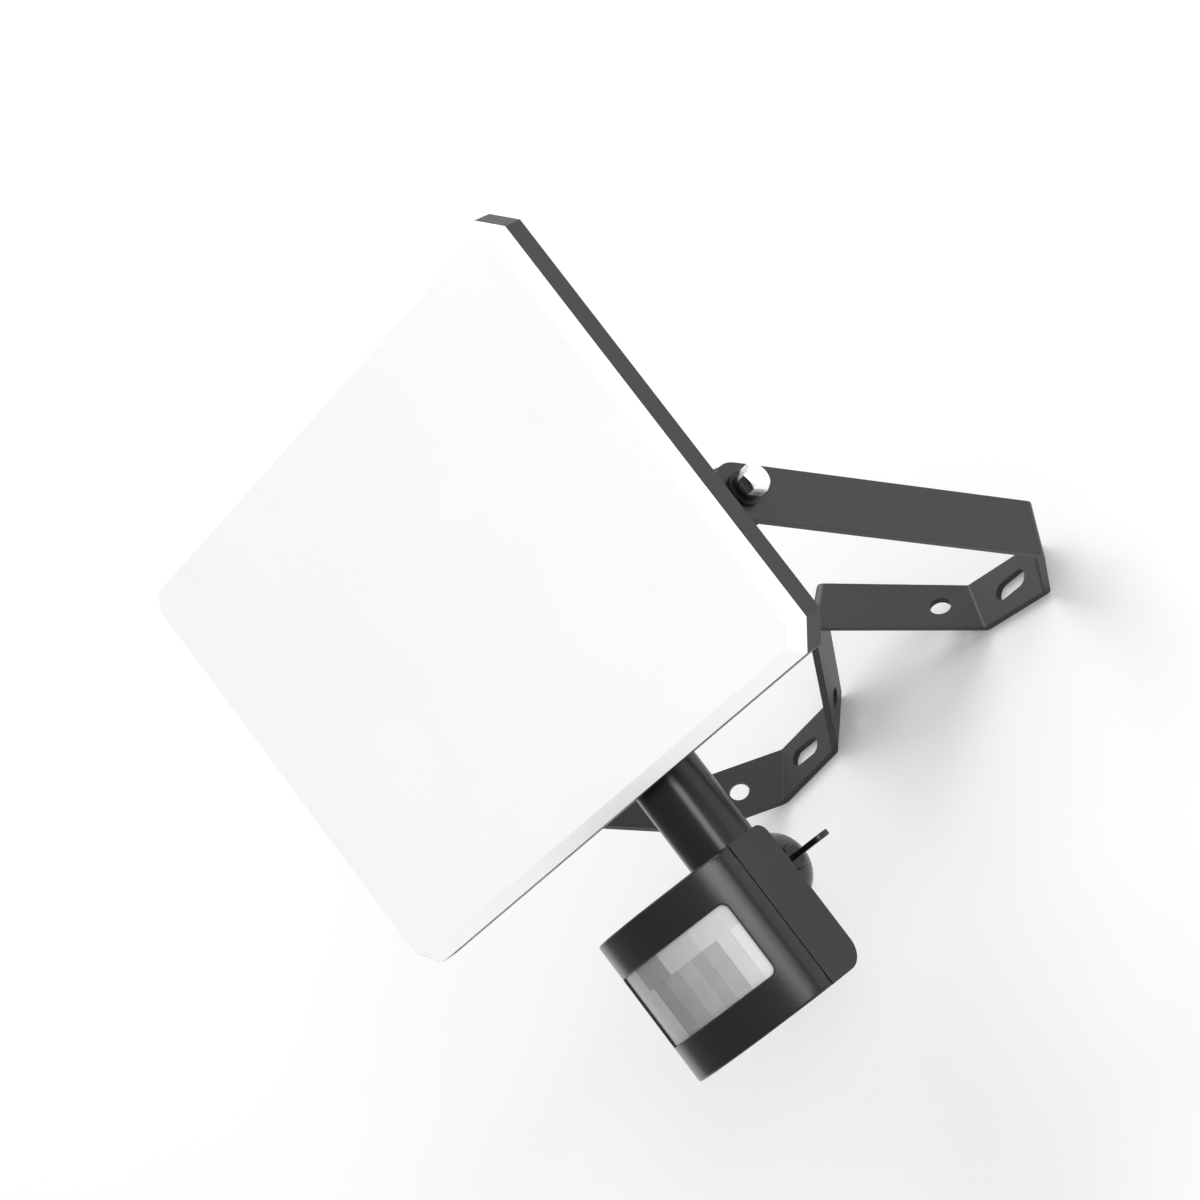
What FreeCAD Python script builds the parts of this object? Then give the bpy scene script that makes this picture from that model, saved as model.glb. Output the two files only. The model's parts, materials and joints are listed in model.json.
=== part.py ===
import FreeCAD, Part
import math
import os
import re
import Sketcher

# Outdoor floodlight with a motion sensor, on a folded wall bracket.
# Frame: X to the right along the wall, Y into the wall, Z up. The origin is midway between the two
# slots of the bracket's feet, on the wall. The lamp's own frame has X along its width, Y rearwards from
# the front edge of its rim and Z up from its lower edge. It is turned by lampTilt about the pivot bolts.

doc = FreeCAD.newDocument("Floodlight")
sheet = doc.addObject("Spreadsheet::Sheet", "Sizes")
Vec = FreeCAD.Vector
names = set()


def addSizes(column, sizes):
    """Writes named sizes into one column of the sheet, each under its alias."""
    for row, (alias, value) in enumerate(sizes.items(), start=1):
        sheet.set("%s%d" % (column, row), str(value))
        sheet.setAlias("%s%d" % (column, row), alias)
        names.add(alias)


# Lamp
lampSizes = {
    "lampWidth": 257,  # lamp from side to side
    "lampHeight": 183,  # lamp from lower to upper edge
    "cornerCut": 9.3,  # leg of the cut corners
    "rimDepth": 8.2,  # depth of the slab's side wall
    "rimWall": 3,  # thickness of the side wall
    "trayDepth": 5,  # depth of the tray in the slab's front
    "lampTilt": 42,  # how far the lamp faces down
    "pivotUp": 59,  # pivot above the lamp's lower edge
    "pivotBack": 34,  # pivot behind the rim's front edge
    "boxWidth": 140,  # driver box outside width
    "boxLow": 12,  # driver box floor above the lamp's lower edge
    "boxHeight": 100,  # driver box outside height
    "boxRear": 50,  # rear edge of the driver box's walls
    "boxWall": 3,  # driver box wall
    "boxRound": 8,  # radius of the driver box's corners
    "coverPlate": 3,  # thickness of the driver cover
    "coverLip": 2,  # depth of the step on the driver cover
    "coverLipWall": 2,  # width of the step on the driver cover
    "fitGap": 0.3,  # clearance of covers and lips
    "bossRadius": 4.5,  # radius of the cover's screw bosses
    "bossInset": 7.5,  # boss centres from the box's outside
    "finHeight": 11,  # how far the cooling ribs stand out
    "finThick": 2.2,  # thickness of a cooling rib
    "finPitch": 9,  # spacing of the cooling ribs
    "finMargin": 15,  # ribs end this far from the lamp's edges
    "lugThick": 5,  # thickness of the pivot ears
    "lugRound": 12,  # radius of the pivot ears
    "threadHole": 6,  # threaded hole in the ears
    "frontRise": 4.5,  # how far the opal front stands out
    "frontBevel": 5,  # inset of the opal front's sloped rim
    "frontInset": 0.4,  # opal front inside the slab's outline
    "frontWall": 2,  # thickness of the opal front
    "frontLip": 1.5,  # depth and width of the opal front's lip
    "gasketWidth": 2.4,  # width of the front gasket
    "boardThick": 1.6,  # thickness of every circuit board
    "boardGap": 0.6,  # gap between light board and gasket
    "ledSize": 3,  # side of a light-emitting diode
    "ledThick": 0.8,  # height of a light-emitting diode
    "ledPitch": 18,  # spacing of the diodes
    "driverWidth": 108,  # driver board width
    "driverHeight": 68,  # driver board height
    "driverStand": 5,  # length of the driver board's posts
    "glandBack": 30,  # cable gland behind the rim's front edge
    "glandUp": 40,  # cable gland above the lamp's lower edge
    "glandThread": 12,  # cable gland thread
    "glandBore": 7,  # cable gland bore
    "glandFlats": 17,  # cable gland across flats
    "glandReach": 13,  # cable gland thread outside the box
    "ventAcross": 45,  # vent plug from the middle
    "ventThread": 8,  # vent plug thread
}
addSizes("A", lampSizes)

# Bracket and pivots
bracketSizes = {
    "plateThick": 2.5,  # thickness of the bracket's steel
    "bandHeight": 23.2,  # upright height of the bracket's band
    "armOuter": 111.3,  # outer face of each arm from the middle
    "armDroop": 12.6,  # how far the arms slope down from the wall
    "armReach": 159,  # pivot in front of the wall
    "vFoldX": 46.7,  # inner end of each foot at half height
    "outerFoldX": 83.3,  # outer end of each foot at half height
    "vLean": 0.268,  # lean of the notch's legs, sideways for one upwards
    "outerLean": 0.11,  # lean of the outer legs
    "apexRise": 17.4,  # half height of the band at the notch's apex
    "vFoldRise": 2.6,  # half height of the band at the inner folds
    "outerFoldRise": -2.1,  # half height of the band at the outer folds
    "armRise": -9.7,  # half height of the band where the arms start
    "bendRadius": 1.6,  # inside radius of the folds
    "slotSpacing": 134,  # distance between the two slots
    "slotLength": 17,  # slot length
    "slotWidth": 7.4,  # slot width
    "cornerHole": 8.4,  # diameter of the round fixing holes
    "notchHoleX": 36.6,  # round hole in a notch leg from the middle
    "outerHoleX": 96.5,  # round hole in an outer leg from the middle
    "pivotHole": 6.6,  # hole in the arms for the pivot bolt
    "boltShank": 5.9,  # pivot bolt shank
    "boltHead": 10,  # pivot bolt head across flats
    "boltHeadHeight": 4.6,  # pivot bolt head height
    "flatWasher": 13,  # flat washer diameter
    "flatWasherThick": 1.8,  # flat washer thickness
    "springWasher": 10,  # spring washer diameter
    "springWasherThick": 3,  # spring washer thickness
    "padThick": 1.3,  # friction disc between ear and arm
}
addSizes("D", bracketSizes)

# Neck, knuckle and sensor head
sensorSizes = {
    "neckRadius": 14,  # outer radius of the neck
    "neckWall": 2.6,  # wall of the neck
    "neckBack": 34.6,  # neck axis behind the rim's front edge
    "neckEnd": -35,  # lower end of the neck
    "neckFloor": 3,  # thickness of the neck's end walls
    "neckSeam": 1.5,  # seam of the rear strip behind the neck's axis
    "seamStep": 0.5,  # rear strip set in from the neck's surface
    "spigotRadius": 8,  # spigot through the driver box's floor
    "spigotLength": 9,  # length of that spigot
    "neckNut": 12,  # radius of the nut on the spigot
    "knuckleBack": 46.6,  # tilt axis behind the rim's front edge
    "knuckleLow": -49.3,  # tilt axis above the lamp's lower edge
    "knuckleRadius": 15.4,  # radius of the knuckle's ball
    "knuckleGap": 0.35,  # gap under the neck
    "swivelRadius": 9,  # radius of the knuckle's swivel
    "tongueThick": 8,  # thickness of the sensor's tongue
    "tongueRadius": 9,  # radius of the tongue's end
    "tongueGap": 0.35,  # gap round the tongue
    "screwShank": 5,  # wing screw shank
    "turnGap": 0.08,  # radial clearance of turning shafts
    "wingCollar": 4.7,  # radius of the wing screw's collar
    "collarSink": 1.4,  # how deep that collar sits in the ball
    "wingStart": 21,  # wing from the middle
    "wingLength": 13,  # wing length along the screw
    "wingWidth": 8.5,  # wing width
    "wingThick": 2.3,  # wing thickness
    "nutThick": 4,  # clamp nut thickness
    "nutFlats": 8,  # clamp nut across flats
    "headTilt": 40,  # how far the sensor head tilts down
    "headWidth": 76,  # sensor head width
    "headTop": -32.8,  # top of the sensor head
    "headHeight": 59.6,  # sensor head height
    "headRear": 19.4,  # rear face of the sensor head
    "headSeam": -1,  # seam between the head's shells
    "headCurve": 46,  # radius of the head's curved front
    "headCurveBack": 20,  # centre of that curve behind the rim's front edge
    "headCorner": 7,  # rounding from the curved front to the sides
    "headWall": 2,  # wall of the head's shells
    "headRearRound": 8.5,  # lower rear rounding of the head
    "headTopRound": 4.5,  # upper rear rounding of the head
    "windowWidth": 63.8,  # lens window width
    "windowHeight": 30,  # lens window height
    "windowTop": -47.4,  # top of the lens window
    "windowRound": 3,  # corner radius of the lens window
    "lensThick": 1,  # thickness of the lens
    "lensSink": 0.8,  # how deep the lens sits in its window
    "lensFlange": 1.6,  # flange of the lens round its window
    "headScrewX": 31,  # head screws from the middle
    "headScrewInset": 9,  # head screws from top and bottom
    "headPost": 3.4,  # radius of the head's screw posts
    "headScrew": 2.9,  # head screw diameter
    "sensorBoardWidth": 46,  # sensor board width
    "sensorBoardHeight": 40,  # sensor board height
    "sensorBoardBack": 4,  # front face of the sensor board
}
addSizes("G", sensorSizes)
doc.recompute()


def size(alias):
    """A size from the sheet, in millimetres, or in degrees for an angle."""
    return float(getattr(sheet, alias))


def bind(text):
    """Turns named sizes in a formula into references to the sheet."""
    return re.sub(r"[A-Za-z]\w*", lambda m: "Sizes." + m.group() if m.group() in names else m.group(), str(text))


# The arms' middle line starts at the outer folds and slopes down to the pivot.
armInner = size("armOuter") - size("plateThick")
armFoldY = -(armInner - size("outerFoldX")) - size("plateThick")
armSlope = math.tan(math.radians(size("armDroop")))
pivot = Vec(0, -size("armReach"), size("armRise") - armSlope * (size("armReach") + armFoldY))
lampTurn = FreeCAD.Rotation(Vec(1, 0, 0), size("lampTilt"))
lampPlace = FreeCAD.Placement(
    pivot - lampTurn.multVec(Vec(0, size("pivotBack"), size("pivotUp"))), lampTurn)
wallPlace = FreeCAD.Placement()

alongX = FreeCAD.Rotation(Vec(0, 1, 0), 90)
alongY = FreeCAD.Rotation(Vec(1, 0, 0), -90)
parts = []


def keep(item, node, place=lampPlace):
    """Registers a finished sub-part under its node name, in its place."""
    if item.ExpressionEngine:
        # A bare box or rod is placed by its own formulas, so a wrapper carries the lamp's placement.
        item = group(item.Name + "Alone", [item])
    item.Label = node
    item.Placement = place
    parts.append(item)
    return item


def move(item, at, turn=None):
    item.Placement = FreeCAD.Placement(Vec(), turn or FreeCAD.Rotation())
    for axis, value in zip("xyz", at):
        item.setExpression("Placement.Base." + axis, bind(value))
    return item


def box(name, lengths, at, turn=None):
    """A box from its three lengths and its lowest corner."""
    item = doc.addObject("Part::Box", name)
    for prop, value in zip(("Length", "Width", "Height"), lengths):
        item.setExpression(prop, bind(value))
    return move(item, at, turn)


def rod(name, radius, length, at, turn=None):
    item = doc.addObject("Part::Cylinder", name)
    item.setExpression("Radius", bind(radius))
    item.setExpression("Height", bind(length))
    return move(item, at, turn)


def hexagon(name, flats, length, at, turn=None):
    item = doc.addObject("Part::Prism", name)
    item.Polygon = 6
    item.setExpression("Circumradius", bind("(%s) / 1.7320508" % flats))
    item.setExpression("Height", bind(length))
    return move(item, at, turn)


def ball(name, radius, at, turn=None):
    item = doc.addObject("Part::Sphere", name)
    item.setExpression("Radius", bind(radius))
    return move(item, at, turn)


def cut(name, base, tools):
    item = doc.addObject("Part::Cut", name)
    item.Base = base
    item.Tool = tools[0] if len(tools) == 1 else fuse(name + "Tools", tools)
    item.Refine = True
    return item


def fuse(name, pieces):
    item = doc.addObject("Part::MultiFuse", name)
    item.Shapes = pieces
    item.Refine = True
    return item


def common(name, pieces):
    item = doc.addObject("Part::MultiCommon", name)
    item.Shapes = pieces
    item.Refine = True
    return item


def group(name, pieces):
    """Separate solids of one kind that share a node."""
    item = doc.addObject("Part::Compound", name)
    item.Links = pieces
    return item


def roundEdges(name, base, radius, wanted):
    """Fillets the edges of base that the test picks."""
    doc.recompute()
    item = doc.addObject("Part::Fillet", name)
    item.Base = base
    value = size(radius)
    item.Edges = [(i + 1, value, value) for i, edge in enumerate(base.Shape.Edges) if wanted(edge)]
    return item


def spans(edge, axis):
    """True where an edge runs along one axis alone."""
    b = edge.BoundBox
    lengths = {"x": b.XLength, "y": b.YLength, "z": b.ZLength}
    return all(value < 0.01 for key, value in lengths.items() if key != axis)


def originPlane(body, role):
    return next(f for f in body.Origin.OriginFeatures if f.Role == role)


def sketchOn(body, role, name, offset="0"):
    """A sketch on one of the body's own origin planes, moved along the plane's normal."""
    sketch = body.newObject("Sketcher::SketchObject", name)
    sketch.AttachmentSupport = [(originPlane(body, role), "")]
    sketch.MapMode = "FlatFace"
    sketch.setExpression("AttachmentOffset.Base.z", bind(offset))
    return sketch


def facing(body, name, back):
    """A sketch that faces forwards, back behind the rim's front edge. Its pads run rearwards."""
    return sketchOn(body, "XZ_Plane", name, "-(%s)" % back)


def outline(sketch, corners):
    """A closed outline with each corner bound to its two formulas."""
    count = len(corners)
    first = sketch.GeometryCount
    around = [Vec(math.cos(2 * math.pi * i / count), math.sin(2 * math.pi * i / count), 0) for i in range(count)]
    for i in range(count):
        sketch.addGeometry(Part.LineSegment(around[i], around[(i + 1) % count]), False)
    for i in range(count):
        sketch.addConstraint(Sketcher.Constraint("Coincident", first + i, 2, first + (i + 1) % count, 1))
    for i, (across, up) in enumerate(corners):
        for kind, formula, start in (("DistanceX", across, around[i].x), ("DistanceY", up, around[i].y)):
            index = sketch.addConstraint(Sketcher.Constraint(kind, -1, 1, first + i, 1, start))
            sketch.setExpression("Constraints[%d]" % index, bind(formula))
    return sketch


def rectangle(sketch, left, right, low, high):
    return outline(sketch, [(left, low), (right, low), (right, high), (left, high)])


def circle(sketch, radius, across, up):
    index = sketch.addGeometry(Part.Circle(Vec(1, 1, 0), Vec(0, 0, 1), 1), False)
    for kind, formula in (("DistanceX", across), ("DistanceY", up)):
        rule = sketch.addConstraint(Sketcher.Constraint(kind, -1, 1, index, 3, 1.0))
        sketch.setExpression("Constraints[%d]" % rule, bind(formula))
    rule = sketch.addConstraint(Sketcher.Constraint("Radius", index, 1.0))
    sketch.setExpression("Constraints[%d]" % rule, bind(radius))
    return sketch


def pad(body, sketch, name, length, rearwards=True):
    feature = body.newObject("PartDesign::Pad", name)
    feature.Profile = sketch
    feature.setExpression("Length", bind(length))
    feature.Reversed = rearwards
    return feature


def pocket(body, sketch, name, length, forwards=False):
    feature = body.newObject("PartDesign::Pocket", name)
    feature.Profile = sketch
    feature.setExpression("Length", bind(length))
    feature.Reversed = forwards
    return feature


def newBody(name):
    return doc.addObject("PartDesign::Body", name)


def roundBody(body, base, name, radius, wanted):
    """Fillets edges of a body's last feature."""
    doc.recompute()
    picked = ["Edge%d" % (i + 1) for i, edge in enumerate(base.Shape.Edges) if wanted(edge)]
    feature = body.newObject("PartDesign::Fillet", name)
    feature.Base = (base, picked)
    feature.setExpression("Radius", bind(radius))
    return feature


def cutCorners(inset):
    """The lamp's eight-cornered outline, drawn in by an equal inset all round."""
    half = "(lampWidth / 2 - (%s))" % inset
    low = "(%s)" % inset
    high = "(lampHeight - (%s))" % inset
    leg = "(cornerCut - 0.5858 * (%s))" % inset
    return [
        ("%s - %s" % (half, leg), low), (half, "%s + %s" % (low, leg)),
        (half, "%s - %s" % (high, leg)), ("%s - %s" % (half, leg), high),
        ("-%s + %s" % (half, leg), high), ("-%s" % half, "%s - %s" % (high, leg)),
        ("-%s" % half, "%s + %s" % (low, leg)), ("-%s + %s" % (half, leg), low),
    ]


boxTop = "(boxLow + boxHeight)"
lugFace = "(armOuter - plateThick - padThick)"


def coverBosses():
    """Places of the driver cover's five screws, as formulas across and up."""
    across = ("-(boxWidth / 2 - bossInset)", "0", "(boxWidth / 2 - bossInset)")
    up = ("(boxLow + bossInset)", "(%s - bossInset)" % boxTop)
    return [(a, u) for u in up for a in across if not (a == "0" and u == up[0])]


def driverPosts():
    return [(a, u) for a in ("-(driverWidth / 2 - 5)", "(driverWidth / 2 - 5)")
            for u in ("(boxLow + boxHeight / 2 - driverHeight / 2 + 5)",
                      "(boxLow + boxHeight / 2 + driverHeight / 2 - 5)")]


# Rear housing: the cast slab with its tray, driver box, cooling ribs and pivot ears

def rearHousing():
    body = newBody("RearHousing")
    pad(body, outline(facing(body, "SlabOutline", "0"), cutCorners("0")), "Slab", "rimDepth")
    pocket(body, outline(facing(body, "TrayOutline", "0"), cutCorners("rimWall")), "Tray", "trayDepth")
    walls = rectangle(facing(body, "BoxOutline", "trayDepth"),
                      "-boxWidth / 2", "boxWidth / 2", "boxLow", boxTop)
    block = pad(body, walls, "BoxBlock", "boxRear - trayDepth")
    floorBack = size("rimDepth")
    rounded = roundBody(body, block, "BoxCorners", "boxRound",
                        lambda e: spans(e, "y") and e.BoundBox.YMax > floorBack + 5)
    inside = rectangle(facing(body, "BoxInside", "boxRear"),
                       "-(boxWidth / 2 - boxWall)", "boxWidth / 2 - boxWall",
                       "boxLow + boxWall", boxTop + " - boxWall")
    pocket(body, inside, "BoxHollow", "boxRear - rimDepth", forwards=True)
    bosses = facing(body, "BossOutline", "rimDepth - 1")
    for across, up in coverBosses():
        circle(bosses, "bossRadius", across, up)
    pad(body, bosses, "Bosses", "boxRear - coverLip - fitGap - rimDepth + 1")
    pilots = facing(body, "PilotOutline", "rimDepth + 6")
    for across, up in coverBosses():
        circle(pilots, "1.6", across, up)
    pocket(body, pilots, "Pilots", "boxRear")
    posts = facing(body, "PostOutline", "rimDepth - 1")
    for across, up in driverPosts():
        circle(posts, "3", across, up)
    pad(body, posts, "Posts", "driverStand + 1")
    ribs = facing(body, "RibOutline", "rimDepth - 1")
    for step in range(-7, 8):
        middle = "(%d * finPitch)" % step
        rectangle(ribs, middle + " - finThick / 2", middle + " + finThick / 2",
                  boxTop + " + 5", "lampHeight - finMargin")
    for side in (-1, 1):
        for step in range(3):
            middle = "(%d * (boxWidth / 2 + (%d + 0.9) * finPitch))" % (side, step)
            rectangle(ribs, middle + " - finThick / 2", middle + " + finThick / 2",
                      "finMargin", "lampHeight - finMargin")
    pad(body, ribs, "Ribs", "finHeight + 1")
    for side, start in (("Right", lugFace + " - lugThick"), ("Left", "-" + lugFace)):
        web = rectangle(sketchOn(body, "YZ_Plane", side + "EarWeb", start),
                        "rimDepth - 1", "pivotBack", "pivotUp - lugRound", "pivotUp + lugRound")
        pad(body, web, side + "Ear", "lugThick", rearwards=False)
        end = circle(sketchOn(body, "YZ_Plane", side + "EarRound", start), "lugRound", "pivotBack", "pivotUp")
        pad(body, end, side + "EarEnd", "lugThick", rearwards=False)
    thread = circle(sketchOn(body, "YZ_Plane", "ThreadOutline"), "threadHole / 2", "pivotBack", "pivotUp")
    bore = pocket(body, thread, "Threads", "lampWidth")
    bore.Midplane = True
    spigot = circle(sketchOn(body, "XY_Plane", "SpigotOutline", "boxLow - 1"),
                    "spigotRadius + fitGap / 2", "0", "neckBack")
    pocket(body, spigot, "SpigotHole", "boxWall + 2", forwards=True)
    vent = circle(sketchOn(body, "XY_Plane", "VentOutline", "boxLow - 1"),
                  "ventThread / 2 + fitGap / 2", "ventAcross", "neckBack")
    pocket(body, vent, "VentHole", "boxWall + 2", forwards=True)
    gland = circle(sketchOn(body, "YZ_Plane", "GlandOutline", "-boxWidth / 2 - 1"),
                   "glandThread / 2 + fitGap / 2", "glandBack", "glandUp")
    pocket(body, gland, "GlandHole", "boxWall + 2", forwards=True)
    keep(body, "rear_housing")


def driverCover():
    body = newBody("DriverCover")
    plate = rectangle(facing(body, "PlateOutline", "boxRear"),
                      "-boxWidth / 2", "boxWidth / 2", "boxLow", boxTop)
    flat = pad(body, plate, "Plate", "coverPlate")
    roundBody(body, flat, "PlateCorners", "boxRound", lambda e: spans(e, "y"))
    gap = "(boxWall + fitGap)"
    lip = rectangle(facing(body, "LipOutline", "boxRear - coverLip"),
                    "-(boxWidth / 2 - %s)" % gap, "boxWidth / 2 - %s" % gap,
                    "boxLow + " + gap, boxTop + " - " + gap)
    pad(body, lip, "Lip", "coverLip + 0.5")
    inner = "(boxWall + fitGap + coverLipWall + bossInset)"
    hollow = rectangle(facing(body, "LipInside", "boxRear"),
                       "-(boxWidth / 2 - %s)" % inner, "boxWidth / 2 - %s" % inner,
                       "boxLow + " + inner, boxTop + " - " + inner)
    pocket(body, hollow, "LipHollow", "coverLip + 1", forwards=True)
    holes = facing(body, "HoleOutline", "boxRear - coverLip - 1")
    for across, up in coverBosses():
        circle(holes, "2.1", across, up)
    pocket(body, holes, "Holes", "coverPlate + coverLip + 2")
    keep(body, "driver_cover")


def coverScrews():
    screws = []
    for i, (across, up) in enumerate(coverBosses()):
        head = rod("CoverScrewHead%d" % i, "3.6", "2.4", (across, "boxRear + coverPlate", up), alongY)
        shank = rod("CoverScrewShank%d" % i, "1.5", "12", (across, "boxRear + coverPlate - 12", up), alongY)
        screws.append(fuse("CoverScrew%d" % i, [head, shank]))
    keep(group("CoverScrews", screws), "driver_cover_screws")


def octagonRing(name, node, outer, inner, back, depth):
    """A flat eight-cornered ring between two insets."""
    body = newBody(name)
    sketch = facing(body, name + "Outline", back)
    outline(sketch, cutCorners(outer))
    if inner:
        outline(sketch, cutCorners(inner))
    pad(body, sketch, name + "Pad", depth)
    return keep(body, node)


def opalFront():
    body = newBody("OpalFront")
    base = outline(facing(body, "FrontBase", "0"), cutCorners("frontInset"))
    face = outline(facing(body, "FrontFace", "-frontRise"), cutCorners("frontInset + frontBevel"))
    loft = body.newObject("PartDesign::AdditiveLoft", "FrontLoft")
    loft.Profile = base
    loft.Sections = [face]
    loft.Ruled = True
    lip = outline(facing(body, "FrontLipOutline", "0"), cutCorners("rimWall + fitGap"))
    pad(body, lip, "FrontLipPad", "frontLip")
    hollow = outline(facing(body, "FrontInside", "frontLip"), cutCorners("rimWall + fitGap + frontLip"))
    pocket(body, hollow, "FrontHollow", "frontLip + frontRise - frontWall", forwards=True)
    keep(body, "opal_front")


def lightBoard():
    octagonRing("FrontGasket", "front_gasket", "rimWall + fitGap", "rimWall + fitGap + gasketWidth",
                "frontLip", "trayDepth - frontLip")
    octagonRing("LightBoard", "led_board", "rimWall + fitGap + gasketWidth + boardGap", "",
                "trayDepth - boardThick", "boardThick")
    across = int((size("lampWidth") - 4 * size("cornerCut")) / size("ledPitch"))
    rows = int((size("lampHeight") - 4 * size("cornerCut")) / size("ledPitch"))
    diodes = []
    for column in range(across):
        for row in range(rows):
            diodes.append(box("Diode%d_%d" % (column, row), ("ledSize", "ledThick", "ledSize"), (
                "%g * ledPitch - ledSize / 2" % (column - (across - 1) / 2),
                "trayDepth - boardThick - ledThick",
                "lampHeight / 2 + %g * ledPitch - ledSize / 2" % (row - (rows - 1) / 2))))
    keep(group("Diodes", diodes), "led_chips")


# Driver: the circuit board in the rear box and what stands on it

def driver():
    front = "(rimDepth + driverStand)"
    top = "(rimDepth + driverStand + boardThick)"
    middle = "(boxLow + boxHeight / 2)"
    keep(box("DriverBoard", ("driverWidth", "boardThick", "driverHeight"),
             ("-driverWidth / 2", front, middle + " - driverHeight / 2")), "driver_board")
    core = box("TransformerCore", ("26", "20", "22"), ("-24", top, middle + " - 4"))
    coil = box("TransformerCoil", ("18", "22", "30"), ("-20", top, middle + " - 8"))
    keep(fuse("Transformer", [core, coil]), "driver_transformer")
    cans = [rod("Can%d" % i, radius, height, (across, top, middle + up), alongY)
            for i, (radius, height, across, up) in enumerate(
                (("8", "21", "18", " + 14"), ("5", "14", "34", " + 18"), ("5", "14", "34", " + 4")))]
    keep(group("Capacitors", cans), "driver_capacitors")
    keep(box("Terminals", ("14", "13", "24"), ("-driverWidth / 2 + 4", top, "glandUp - 4")), "terminal_block")
    keep(box("RadioBoard", ("18", "boardThick", "26"), ("16", top, middle + " - 30")), "wifi_board")
    keep(box("RadioShield", ("14", "2.4", "15"), ("18", top + " + boardThick", middle + " - 29")), "wifi_shield")


def gland():
    """The mains cable's gland in the driver box's left wall; its axis runs along X."""
    wall = "(-boxWidth / 2)"
    spot = ("glandBack", "glandUp")
    flange = hexagon("GlandFlange", "glandFlats", "4", (wall + " - 4",) + spot, alongX)
    thread = rod("GlandThread", "glandThread / 2", "glandReach + boxWall + 8",
                 (wall + " - glandReach",) + spot, alongX)
    bore = rod("GlandBore", "glandBore / 2", "glandReach + boxWall + 10",
               (wall + " - glandReach - 1",) + spot, alongX)
    keep(cut("GlandBody", fuse("GlandSolid", [flange, thread]), [bore]), "gland_body")
    hexNut = hexagon("GlandNutHex", "glandFlats", "6", (wall + " - 4 - 6.2",) + spot, alongX)
    dome = doc.addObject("Part::Cone", "GlandDome")
    dome.setExpression("Radius1", bind("glandBore / 2 + 1.6"))
    dome.setExpression("Radius2", bind("glandFlats / 2 - 0.4"))
    dome.Height = 7
    move(dome, (wall + " - 10.2 - 7",) + spot, alongX)
    inside = rod("GlandNutInside", "glandThread / 2 + 0.05", "9.3", (wall + " - glandReach - 0.2",) + spot, alongX)
    mouth = rod("GlandNutMouth", "glandBore / 2", "20", (wall + " - 20",) + spot, alongX)
    keep(cut("GlandNut", fuse("GlandNutSolid", [hexNut, dome]), [inside, mouth]), "gland_nut")
    lock = hexagon("GlandLockHex", "glandFlats", "3.5", (wall + " + boxWall",) + spot, alongX)
    lockBore = rod("GlandLockBore", "glandThread / 2 + 0.05", "5", (wall + " + boxWall - 1",) + spot, alongX)
    keep(cut("GlandLock", lock, [lockBore]), "gland_lock_nut")


def ventPlug():
    stem = rod("VentStem", "ventThread / 2", "boxWall + 3", ("ventAcross", "neckBack", "boxLow"))
    cap = rod("VentCap", "ventThread / 2 + 2.4", "3", ("ventAcross", "neckBack", "boxLow - 3"))
    keep(fuse("Vent", [stem, cap]), "vent_plug")


# Bracket: one folded steel strip, made of flat facets whose planes meet in the folds

def meet(a, b, height):
    """The point at one height on the line in which two planes (normal, offset) meet."""
    (na, da), (nb, db) = a, b
    det = na.x * nb.y - na.y * nb.x
    ra = da - na.z * height
    rb = db - nb.z * height
    return Vec((ra * nb.y - rb * na.y) / det, (na.x * rb - nb.x * ra) / det, height)


def facetPlanes(depth):
    """Planes of the strip's facets from the left arm to the right one, depth behind the front face."""
    thick = size("plateThick")
    leg = Vec(1, -1, size("vLean"))
    outer = Vec(-1, -1, -size("outerLean"))
    legAt = leg.dot(Vec(size("vFoldX"), -thick, size("vFoldRise"))) - depth * leg.Length
    outerAt = outer.dot(Vec(size("outerFoldX"), -thick, size("outerFoldRise"))) - depth * outer.Length
    foot = (Vec(0, 1, 0), depth - thick)
    arm = (Vec(1, 0, 0), armInner + depth)
    right = [(leg, legAt), foot, (outer, outerAt), arm]
    left = [(Vec(-n.x, n.y, n.z), at) for n, at in right]
    return left[::-1] + right


def bandLine(planes, side):
    """Corner points along one edge of the strip; side is +1 for the upper and -1 for the lower one."""
    half = size("bandHeight") / 2
    rises = [size(n) for n in ("armRise", "outerFoldRise", "vFoldRise", "apexRise")]
    rises = rises + rises[-2::-1]
    points = [meet(planes[i], planes[i + 1], rise + side * half) for i, rise in enumerate(rises)]
    droop = math.radians(size("armDroop"))
    across = half * math.cos(droop)
    end = pivot + Vec(0, -side * across * math.sin(droop), side * across * math.cos(droop))
    return [Vec(points[0].x, end.y, end.z)] + points + [Vec(points[-1].x, end.y, end.z)]


def bracketStrip():
    """Closes the strip's four edge lines: flat faces in front and behind, ruled ones above and below."""
    front = facetPlanes(0)
    back = facetPlanes(size("plateThick"))
    lines = [bandLine(front, 1), bandLine(back, 1), bandLine(back, -1), bandLine(front, -1)]
    faces = []
    for i in range(4):
        near, far = lines[i], lines[(i + 1) % 4]
        for j in range(len(near) - 1):
            if i % 2:
                around = [near[j], near[j + 1], far[j + 1], far[j], near[j]]
                faces.append(Part.Face(Part.makePolygon(around)))
            else:
                here = Part.makeLine(near[j], near[j + 1])
                there = Part.makeLine(far[j], far[j + 1])
                faces.append(Part.makeRuledSurface(here, there))
    for end in (0, -1):
        corners = [line[end] for line in lines]
        faces.append(Part.Face(Part.makePolygon(corners + corners[:1])))
    shell = Part.makeShell(faces)
    shell.sewShape()
    solid = Part.makeSolid(shell)
    if solid.Volume < 0:
        solid.reverse()
    return solid


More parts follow.
